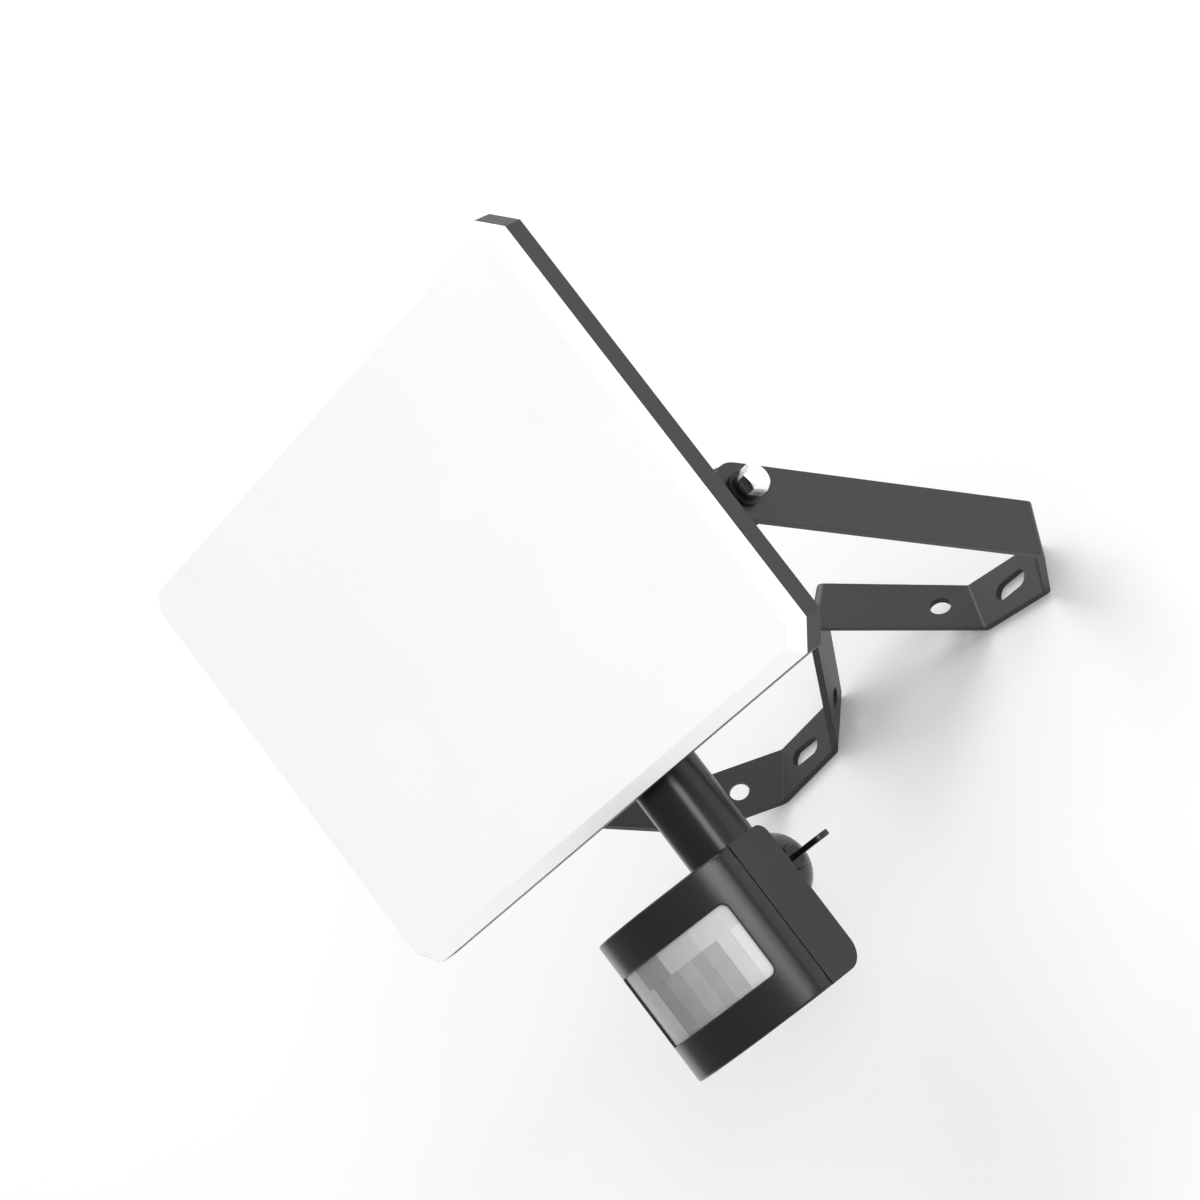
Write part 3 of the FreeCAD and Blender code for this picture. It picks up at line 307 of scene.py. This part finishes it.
# lit and shaded copies of one film material, one for each painted shade
lensShadedFilms = [paintedShadeLensFilm("lensFilmShade%d" % i, tone) for i, tone in enumerate(lens["litAndShadedGreys"])]
materials["lens_plastic"] = lensShadedFilms[2]

for subpart in frame["record"]["subparts"]:
    node = nodes[subpart["node"]]
    if not node.material_slots:
        node.data.materials.append(None)
    for place in node.material_slots:
        place.material = materials[subpart["material_slot"]]
print("materials:", len(materials))


# Mesh helpers

def meshObject(name, points, faces, material, smooth=True):
    mesh = bpy.data.meshes.new(name)
    mesh.from_pydata([tuple(p) for p in points], [], [tuple(int(i) for i in f) for f in faces])
    mesh.update()
    if smooth:
        mesh.polygons.foreach_set("use_smooth", [True] * len(mesh.polygons))
    item = bpy.data.objects.new(name, mesh)
    bpy.context.scene.collection.objects.link(item)
    mesh.materials.append(material)
    return item


def gridFaces(rows, columns, wrapped=False, start=0):
    # quads over a grid of points; wrapped joins the last column to the first
    faces = []
    last = columns if wrapped else columns - 1
    for row in range(rows - 1):
        for column in range(last):
            here = start + row * columns + column
            beside = start + row * columns + (column + 1) % columns
            faces.append((here, beside, beside + columns, here + columns))
    return faces


def blockSlopes(share, edges, seed):
    # for each share along a row: its block's number, how far across the block it lies (-1 to 1), and the lean
    edges = np.asarray(edges)
    block = np.clip(np.searchsorted(edges, share, side="right") - 1, 0, len(edges) - 2)
    low, high = edges[block], edges[block + 1]
    within = 2 * (share - low) / (high - low) - 1
    # each block leans by its own amount: sin(seed + 2.4 number)
    return block, within, np.sin(seed + 2.4 * block)


def fresnelLens():
    columns, rows = lens["grid"]
    halfAngle = math.asin(lens["halfChord"] / lens["radius"])
    sideways = np.linspace(-1, 1, columns)
    upwards = np.linspace(0, 1, rows)
    s, t = np.meshgrid(sideways, upwards)
    # inside: distance to the film's rounded edge, zero at the edge and positive within
    flatX = s * lens["halfChord"]
    flatZ = (t - 0.5) * lens["height"]
    overX = np.abs(flatX) - (lens["halfChord"] - lens["corner"])
    overZ = np.abs(flatZ) - (lens["height"] / 2 - lens["corner"])
    outside = np.hypot(np.maximum(overX, 0), np.maximum(overZ, 0)) + np.minimum(np.maximum(overX, overZ), 0)
    inside = lens["corner"] - outside
    share = (s + 1) / 2
    fromTop = 1 - t
    upperRow = fromTop < lens["rowSplit"]
    blockU, withinU, leanU = blockSlopes(share, lens["upper"], 0.4)
    blockL, withinL, leanL = blockSlopes(share, lens["lower"], 2.1)
    within = np.where(upperRow, withinU, withinL)
    lean = np.where(upperRow, leanU, leanL)
    block = np.where(upperRow, blockU, blockL + 9)
    relief = lens["tilt"] * 0.2 * within * lean + lens["step"] * np.sin(1.7 * block)
    # the relief fades out over the rim, and the film drops away outside the rounded corners
    fade = np.clip((inside - lens["rim"]) / 0.5, 0, 1)
    sink = np.clip(-inside / 0.3, 0, 1) * lens["sink"]
    radius = lens["radius"] - lens["below"] + (relief - 0.05) * fade - sink
    angle = s * halfAngle
    across = radius * np.sin(angle)
    back = lens["centreBack"] - radius * np.cos(angle)
    up = lens["top"] - fromTop * lens["height"]
    front = lampPoint(across, back, up).reshape(-1, 3)
    innerRadius = lens["radius"] - lens["below"] - lens["film"]
    behind = lampPoint(innerRadius * np.sin(angle), lens["centreBack"] - innerRadius * np.cos(angle), up)
    points = np.concatenate([front, behind.reshape(-1, 3)])
    faces = gridFaces(rows, columns)
    count = rows * columns
    rearFaces = [tuple(count + i for i in reversed(f)) for f in faces]
    ring = list(range(columns)) + [r * columns + columns - 1 for r in range(1, rows)]
    ring += [(rows - 1) * columns + c for c in range(columns - 2, -1, -1)]
    ring += [r * columns for r in range(rows - 2, 0, -1)]
    sides = [(a, b, b + count, a + count) for a, b in zip(ring[1:] + ring[:1], ring)]
    item = meshObject("fresnel_lens", points, faces + rearFaces + sides, lensShadedFilms[0], smooth=False)
    for material in lensShadedFilms[1:]:
        item.data.materials.append(material)
    # each face takes its block's painted shade (a lit or shaded copy of the film), from the block at its first
    # corner
    tone = np.where(upperRow, np.array(lens["upperBlockShades"])[blockU], np.array(lens["lowerBlockShades"])[blockL])
    tone = tone[:-1, :-1].ravel()
    whole = np.concatenate([tone, tone, np.full(len(sides), 2)]).astype(np.int32)
    item.data.polygons.foreach_set("material_index", whole)
    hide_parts("sensor_lens")
    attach(item, "sensor")


fresnelLens()
print("lens made")


# Sensor head's front: a curved face with rounded sides, its window and softly rounded edges
headFront = {
    "half": 38.0,
    "curve": 46.0,
    "curveBack": 20.0,
    "side": 7.0,
    "seam": -1.0,
    "top": -32.8,
    "height": 59.6,
    "wall": 2.0,
    "edge": 0.9,
    "seamEdge": 0.12,
    "lipBack": 0.35,
    "lipEdge": 0.35,
    "lipCorner": 5.0,
    "lipBelow": 0.5,
    "rimBack": 0.1,
    "rimCorner": 0.3,
    "windowHalf": 31.9,
    "windowTop": -47.4,
    "windowHeight": 30.0,
    "windowRound": 3.0,
    "windowEdge": 0.35,
    "steps": 72,
    "spans": 43,
    "sharp": math.radians(40),
}


def headProfile():
    # half of the head's outline in plan: an arc, a smaller arc that meets it and the side, and the side
    h = headFront
    inner = h["curve"] - h["side"]
    cx = h["half"] - h["side"]
    cy = h["curveBack"] - math.sqrt(inner ** 2 - cx ** 2)
    turn = math.asin(cx / inner)
    a = np.linspace(0, turn, 90)
    arc = np.stack([h["curve"] * np.sin(a), h["curveBack"] - h["curve"] * np.cos(a)], axis=1)
    b = np.linspace(turn, math.pi / 2, 24)[1:]
    fillet = np.stack([cx + h["side"] * np.sin(b), cy - h["side"] * np.cos(b)], axis=1)
    end = np.array([[h["half"], cy + 20.0]])
    points = np.concatenate([arc, fillet, end])
    angles = np.concatenate([a, b, [math.pi / 2]])
    normals = np.stack([np.sin(angles), -np.cos(angles)], axis=1)
    lengths = np.concatenate([[0], np.cumsum(np.linalg.norm(np.diff(points, axis=0), axis=1))])
    seamAt = lengths[-1] - 20.0 + (h["seam"] - cy)
    return points, normals, lengths, seamAt


def onHead(along, up, sunk):
    # a point at a length along the profile from its middle, up, and sunk below the surface along its normal
    points, normals, lengths = headProfile()[:3]
    away = np.abs(along)
    side = np.where(along < 0, -1.0, 1.0)
    x = np.interp(away, lengths, points[:, 0])
    y = np.interp(away, lengths, points[:, 1])
    nx = np.interp(away, lengths, normals[:, 0])
    ny = np.interp(away, lengths, normals[:, 1])
    return lampPoint(side * (x - nx * sunk), y - ny * sunk, up)


def roundedWay(halfWidth, halfHeight, corner, steps):
    # a loop round a rounded rectangle in four runs, from the middle of one corner to the next, with its
    # outward directions: place = centre + corner (-sin a, cos a), where a falls from 45 to -45 degrees
    # and is zero on the straight
    eighth = steps // 6
    fall = np.arange(eighth) / eighth
    angle = np.concatenate([1 - fall, np.zeros(steps - 2 * eighth), -fall]) * math.pi / 4
    way = np.stack([-np.sin(angle), np.cos(angle)], axis=1)
    loops, ways = [], []
    for quarter, (reach, span) in enumerate([(halfHeight, halfWidth), (halfWidth, halfHeight)] * 2):
        run = np.linspace(corner - span, span - corner, steps - 2 * eighth + 1)[:-1]
        run = np.concatenate([np.full(eighth, corner - span), run, np.full(eighth, span - corner)])
        centre = np.stack([run, np.full(steps, reach - corner)], axis=1)
        turn = quarter * math.pi / 2
        spin = np.array([[math.cos(turn), -math.sin(turn)], [math.sin(turn), math.cos(turn)]])
        loops.append((centre + corner * way) @ spin)
        ways.append(way @ spin)
    return np.concatenate(loops), np.concatenate(ways)


def headShell():
    h = headFront
    steps = h["steps"]
    seamAt = headProfile()[3]
    middle = h["top"] - h["height"] / 2
    windowMiddle = h["windowTop"] - h["windowHeight"] / 2 - middle
    windowHalf = h["curve"] * math.asin(h["windowHalf"] / h["curve"])
    window, windowWay = roundedWay(windowHalf, h["windowHeight"] / 2, h["windowRound"], steps)
    window = window + (0, windowMiddle)
    reach = h["height"] / 2 - h["edge"]
    lip, lipWay = roundedWay(seamAt - h["lipBack"] - h["lipEdge"], reach - h["lipBelow"], h["lipCorner"], steps)
    rimAt = seamAt - h["seamEdge"] - h["rimBack"]
    rim, rimWay = roundedWay(rimAt, reach, h["rimCorner"], steps)
    inside = roundedWay(rimAt, h["height"] / 2 - h["wall"], h["rimCorner"], steps)[0]
    rings = [(window, h["wall"]), (window, h["windowEdge"])]
    for angle in np.linspace(0, math.pi / 2, 6)[1:]:
        out = h["windowEdge"] * (1 - math.cos(angle))
        rings.append((window + windowWay * out, h["windowEdge"] * (1 - math.sin(angle))))
    start = rings[-1][0]
    for share in np.linspace(0, 1, h["spans"] + 1)[1:]:
        rings.append((start + (lip - start) * share, 0.0))
    # the lip's edge is rounded and steps down towards the seam, but not along the top and bottom
    step = h["lipEdge"] * np.clip(2 * np.abs(lipWay[:, 0]), 0, 1)
    spread = np.stack([step, np.full(len(step), h["lipBelow"] / 2)], axis=1)
    for angle in np.linspace(0, math.pi / 2, 6)[1:]:
        rings.append((lip + lipWay * spread * math.sin(angle), step * (1 - math.cos(angle))))
    # the edge is rounded at top and bottom, and nearly sharp along the seam
    soft = h["seamEdge"] + (h["edge"] - h["seamEdge"]) * np.abs(rimWay[:, 1])
    for angle in np.linspace(0, math.pi / 2, 7):
        out = rimWay * (h["seamEdge"], h["edge"]) * math.sin(angle)
        rings.append((rim + out, step + soft * (1 - math.cos(angle))))
    points = [onHead(loop[:, 0], middle + loop[:, 1], sunk) for loop, sunk in rings]
    lining = [onHead(loop[:, 0], middle + loop[:, 1], h["wall"])
              for loop in (inside + (window - inside) * share for share in np.linspace(0, 1, 12))]
    # flat top and bottom: the last ring of the skin and of its lining are carried straight back to the seam
    rearward = (lampPoint(0, 1, 0) - lampPoint(0, 0, 0)) / mm
    for ring in (points[-1], lining[0]):
        depth = (ring - lampPoint(0, h["seam"], 0)) @ rearward
        points.append(ring - depth[:, None] * rearward)
    points += lining[:-1] + [points[0]]
    item = meshObject("head_front_moulding", np.concatenate(points),
                      gridFaces(len(points), len(window), wrapped=True), materials["black_plastic"])
    item.data.set_sharp_from_angle(angle=h["sharp"])
    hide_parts("sensor_front_shell")
    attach(item, "sensor")


headShell()
print("head front made")


# Opal front: an eight-cornered lid with a sloped rim, its edges softly rounded
opal = {
    "width": 257.0,
    "height": 183.0,
    "corner": 9.3,
    "rise": 4.5,
    "bevel": 5.0,
    "inset": 0.04,
    "soft": 0.7,
    "seat": 3.3,
    "seatBack": 1.5,
    "seatDraft": 0.1,
    "cornerShare": 0.5858,
    "turns": 8,
}


def octagon(inset, back):
    half, low, high = opal["width"] / 2 - inset, inset, opal["height"] - inset
    leg = opal["corner"] - opal["cornerShare"] * inset
    x = np.array([half - leg, half, half, half - leg, leg - half, -half, -half, leg - half])
    up = np.array([low, low + leg, high - leg, high, high, high - leg, low + leg, low])
    return lampPoint(x, np.full(8, back), up)


def opalLid():
    o = opal
    slope = math.atan2(o["rise"], o["bevel"])
    cut = o["soft"] * math.tan(slope / 2)
    rings = [octagon(o["seat"] + o["seatDraft"], o["seatBack"])]
    rings += [octagon(inset, 0.0) for inset in (o["seat"], o["inset"])]
    # the rounded edge between slope and face: an arc of radius soft turns through the slope's angle
    for angle in np.linspace(slope, 0, o["turns"]):
        inset = o["inset"] + o["bevel"] + cut - o["soft"] * math.sin(angle)
        rings.append(octagon(inset, -o["rise"] + o["soft"] * (1 - math.cos(angle))))
    points = np.concatenate(rings)
    faces = gridFaces(len(rings), 8, wrapped=True)
    faces += [tuple(range(len(points) - 8, len(points))), tuple(reversed(range(8)))]
    item = meshObject("opal_lid", points, faces, materials["opal"], smooth=False)
    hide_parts("opal_front")
    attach(item, "lamp")


opalLid()
print("opal front made")


# Wing screw: a flat paddle with a rounded end, its collar seated in the ball
wing = {
    "back": 46.6,
    "up": -49.3,
    "start": 15.0,
    "end": 34.0,
    "width": 8.5,
    "thick": 2.3,
    "soft": 0.5,
    "tipPoints": 25,
    "layers": 11,
    "spokes": 48,
    # shank and collar, turned about X: place along it and radius
    "turned": ((-15.4, 0.05), (-15.4, 2.2), (-15.1, 2.5), (14.1, 2.5), (14.1, 4.6), (15.3, 4.6), (15.7, 4.2),
               (15.8, 0.05)),
}


def wingScrew():
    w = wing
    half = w["width"] / 2
    turn = np.linspace(-math.pi / 2, math.pi / 2, w["tipPoints"])
    tip = np.stack([w["end"] - half + half * np.cos(turn), half * np.sin(turn)], axis=1)
    root = np.array([[w["start"], half * 0.8], [w["start"], -half * 0.8]])
    shape = np.concatenate([tip, root])
    centre = shape.mean(axis=0)
    rings = []
    for angle in np.linspace(-math.pi / 2, math.pi / 2, w["layers"]):
        pull = w["soft"] * (1 - math.cos(angle))
        lift = (w["thick"] / 2 - w["soft"]) * np.sign(angle) + w["soft"] * math.sin(angle)
        ways = (shape - centre) / np.linalg.norm(shape - centre, axis=1, keepdims=True)
        loop = shape - ways * pull
        rings.append(lampPoint(loop[:, 0], w["back"] + loop[:, 1], w["up"] + lift))
    count = len(shape)
    faces = gridFaces(len(rings), count, wrapped=True)
    faces += [tuple(range((len(rings) - 1) * count, len(rings) * count)), tuple(reversed(range(count)))]
    start = len(rings) * count
    angle = np.linspace(0, 2 * math.pi, w["spokes"], endpoint=False)
    for x, radius in w["turned"]:
        rings.append(lampPoint(x, w["back"] + radius * np.cos(angle), w["up"] + radius * np.sin(angle)))
    faces += gridFaces(len(w["turned"]), w["spokes"], wrapped=True, start=start)
    last = start + (len(w["turned"]) - 1) * w["spokes"]
    faces += [tuple(reversed(range(start, start + w["spokes"]))), tuple(range(last, last + w["spokes"]))]
    item = meshObject("wing_paddle", np.concatenate([r.reshape(-1, 3) for r in rings]), faces,
                      materials["black_plastic"], smooth=False)
    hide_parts("wing_screw")
    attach(item, "wing")


wingScrew()
print("wing made")


# Screws: a domed head with a cross recess, turned about the lamp's rearward axis
screwShape = {
    "spokes": 72,
    "rings": 15,
    "hub": 0.02,
    "fall": 0.35,
    "crossHalf": 0.12,
    "crossBlur": 0.02,
    "crossReach": 0.62,
    "crossEnd": 0.12,
    "crossDeep": 0.6,
}
coverScrew = {
    "across": 62.5,
    "low": 19.5,
    "high": 104.5,
    "back": 53.0,
    "radius": 3.6,
    "height": 2.4,
}
headScrew = {
    "across": 31.0,
    "high": -41.8,
    "low": -83.4,
    "back": 17.0,
    "radius": 2.8,
    "height": 1.8,
}


def screwHead(across, up, size):
    # a grid in rings and spokes: dome = height (1 - fall r cubed), less the cross where it is narrow and near
    # the middle, then down the side
    s, height, back = screwShape, size["height"], size["back"]
    spokes, rings = s["spokes"], s["rings"]
    angle = np.linspace(0, 2 * math.pi, spokes, endpoint=False)
    a, r = np.meshgrid(angle, np.linspace(s["hub"], 1, rings))
    slotWidth = np.minimum(np.abs(np.sin(a)), np.abs(np.cos(a))) * r
    inCross = 1 / (1 + np.exp((slotWidth - s["crossHalf"]) / s["crossBlur"]))
    deep = np.clip((s["crossReach"] - r) / s["crossEnd"], 0, 1) * s["crossDeep"] * height
    top = height * (1 - s["fall"] * r ** 3) - inCross * deep
    reach = size["radius"] * r
    caps = lampPoint(across + reach * np.cos(a), back + top, up + reach * np.sin(a)).reshape(-1, 3)
    foot = lampPoint(across + size["radius"] * np.cos(angle), back, up + size["radius"] * np.sin(angle))
    hubs = lampPoint(across, back + height * np.array([1 - s["crossDeep"], 0]), up)
    faces = gridFaces(rings + 1, spokes, wrapped=True)
    base = rings * spokes
    hub = base + spokes
    faces += [(hub, (c + 1) % spokes, c) for c in range(spokes)]
    faces += [(hub + 1, base + c, base + (c + 1) % spokes) for c in range(spokes)]
    return np.concatenate([caps, foot, hubs]), faces


def screwSet(name, node, body, places, size):
    points, faces, start = [], [], 0
    for across, up in places:
        headPoints, headFaces = screwHead(across, up, size)
        points.append(headPoints)
        faces += [tuple(start + i for i in face) for face in headFaces]
        start += len(headPoints)
    item = meshObject(name, np.concatenate(points), faces, materials["bright_steel"])
    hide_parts(node)
    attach(item, body)


coverPlaces = [(side * coverScrew["across"], coverScrew["low"]) for side in (-1, 1)]
coverPlaces += [(side * coverScrew["across"], coverScrew["high"]) for side in (-1, 0, 1)]
headPlaces = [(side * headScrew["across"], headScrew[row]) for side in (-1, 1) for row in ("low", "high")]
screwSet("cover_screw_heads", "driver_cover_screws", "lamp", coverPlaces, coverScrew)
screwSet("sensor_screw_heads", "sensor_screws", "sensor", headPlaces, headScrew)
print("screws made")


# Spring washers: a split ring whose ends stand a little apart, like one turn of a coil
springWasher = {
    "start": 113.15,
    "inner": 3.1,
    "outer": 4.95,
    "thick": 1.9,
    "rise": 0.9,
    "gap": 0.16,
    "corner": 0.25,
    "steps": 96,
}


def springRing(name, side):
    w = springWasher
    steps, corner = w["steps"], w["corner"]
    turn = np.linspace(w["gap"], 2 * math.pi - w["gap"], steps)
    # the ring climbs by rise in one turn
    lift = w["start"] + w["rise"] * (turn - w["gap"]) / (2 * math.pi - 2 * w["gap"])
    # section: a rectangle with its corners cut, as radius and place across
    low, high = corner, w["thick"] - corner
    near, far = w["inner"] + corner, w["outer"] - corner
    profile = np.array([
        (w["inner"], low), (near, 0), (far, 0), (w["outer"], low),
        (w["outer"], high), (far, w["thick"]), (near, w["thick"]), (w["inner"], high)])
    across = side * (lift[:, None] + profile[None, :, 1])
    back = lamp["pivotBack"] + profile[None, :, 0] * np.cos(turn)[:, None]
    up = lamp["pivotUp"] + profile[None, :, 0] * np.sin(turn)[:, None]
    points = lampPoint(across, back, up).reshape(-1, 3)
    count = len(profile)
    faces = gridFaces(steps, count, wrapped=True)
    faces += [tuple(reversed(range(count))), tuple(range((steps - 1) * count, steps * count))]
    if side > 0:
        faces = [tuple(reversed(f)) for f in faces]
    item = meshObject("spring_ring_" + name, points, faces, materials["black_steel"], smooth=False)
    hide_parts("spring_washer_" + name)
    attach(item, "lamp")


springRing("right", 1)
springRing("left", -1)
print("washers made")


# Stage: a white wall behind the feet
stage = {
    "half": 4.0,
    "behind": 0.0004,
    "shade": 0.92,
    "glow": 0.16,
}


def wallPlane():
    half = stage["half"]
    corners = [(-half, stage["behind"], -half), (half, stage["behind"], -half),
               (half, stage["behind"], half), (-half, stage["behind"], half)]
    material, shader, place = newMaterial("wallWhite", 0.9, 0.0, {"Specular IOR Level": 0.0})
    cloud = place.noise(0.4, 2.0)
    low, high = grey(stage["shade"] - 0.005), grey(stage["shade"] + 0.005)
    # a white backdrop for the camera and for reflections, which still takes the object's shadow
    tree = material.node_tree
    ray = tree.nodes.new("ShaderNodeLightPath")
    eye = Value(tree, ray.outputs["Is Camera Ray"])
    seen = eye + Value(tree, ray.outputs["Is Glossy Ray"]) + Value(tree, ray.outputs["Is Transmission Ray"])
    drive(shader, {"Base Color": cloud.tint(low, high), "Emission Color": seen.tint((0, 0, 0), (1, 1, 1))})
    shader.inputs["Emission Strength"].default_value = stage["glow"]
    # one-sided: its back doesn't hide the object
    hidden = Value(tree, tree.nodes.new("ShaderNodeNewGeometry").outputs["Backfacing"]) * eye
    clear = eye.node("ShaderNodeBsdfTransparent", {})
    both = eye.node("ShaderNodeMixShader", {0: hidden, 1: Value(tree, shader.outputs["BSDF"]), 2: clear})
    tree.links.new(both.socket, tree.nodes["Material Output"].inputs["Surface"])
    item = meshObject("wall_plane", corners, [(0, 1, 2, 3)], material, smooth=False)


wallPlane()

# Light: a pale room that is dimmer to the lower left, a large softbox above and a small one in front
lights = {
    "world": 0.62,
    "bright": (0.5, -0.25, 0.83),
    "dim": 0.34,
    "full": 1.3,
    "boxes": (
        ("above", (-0.9, -2.2, 3.0), 2.4, 66.0),
        ("right", (2.6, -1.7, 0.3), 1.6, 24.0),
        ("front", (0.99, -0.776, -0.58), 0.36, 2.4),
    ),
}


def softbox(name, place, side, power):
    data = bpy.data.lights.new("softbox_" + name, "AREA")
    data.shape = "SQUARE"
    data.size = side
    data.energy = power
    item = bpy.data.objects.new("softbox_" + name, data)
    item.location = place
    item.rotation_euler = (-Vector(place)).to_track_quat("-Z", "Y").to_euler()
    bpy.context.scene.collection.objects.link(item)


world = bpy.data.worlds.new("room")
bpy.context.scene.world = world
world.use_nodes = True
background = world.node_tree.nodes["Background"]
direction = world.node_tree.nodes.new("ShaderNodeTexCoord")
# brightness by direction: half of one plus the cosine to the bright side
share = Value(world.node_tree, direction.outputs["Generated"]).along(lights["bright"]) * 0.5 + 0.5
room = share.tint(grey(lights["dim"]), grey(lights["full"]))
ray = world.node_tree.nodes.new("ShaderNodeLightPath")
white = 1 / lights["world"]
eye = Value(world.node_tree, ray.outputs["Is Camera Ray"])
drive(background, {"Color": eye.node("ShaderNodeMix", {
    "Factor": eye, 6: room, 7: (white, white, white, 1)}, 2, data_type="RGBA")})
background.inputs["Strength"].default_value = lights["world"]
for box in lights["boxes"]:
    softbox(*box)
bpy.context.scene.view_settings.view_transform = "Standard"
print("lights placed")

# Camera: solved from the photograph's straight edges, below and to the right of the lamp
camera = {
    "place": (0.8482, -0.7277, -0.7148),
    "right": (0.5355, 0.8428, -0.0535),
    "down": (-0.5003, 0.2656, -0.8241),
    "forward": (-0.6804, 0.4681, 0.5639),
    "focal": 3378.7 / 1200 * 36,
}
cameraData = bpy.data.cameras.new("camera")
cameraData.lens = camera["focal"]
cameraData.sensor_width = 36
cameraItem = bpy.data.objects.new("camera", cameraData)
bpy.context.scene.collection.objects.link(cameraItem)
ahead = Vector(camera["forward"]).normalized()
rightward = Vector(camera["right"])
rightward = (rightward - ahead * rightward.dot(ahead)).normalized()
upward = rightward.cross(ahead).normalized()
turn = Matrix((rightward, upward, -ahead)).transposed()
cameraItem.matrix_world = Matrix.Translation(Vector(camera["place"])) @ turn.to_4x4()
bpy.context.scene.camera = cameraItem
print("camera placed")
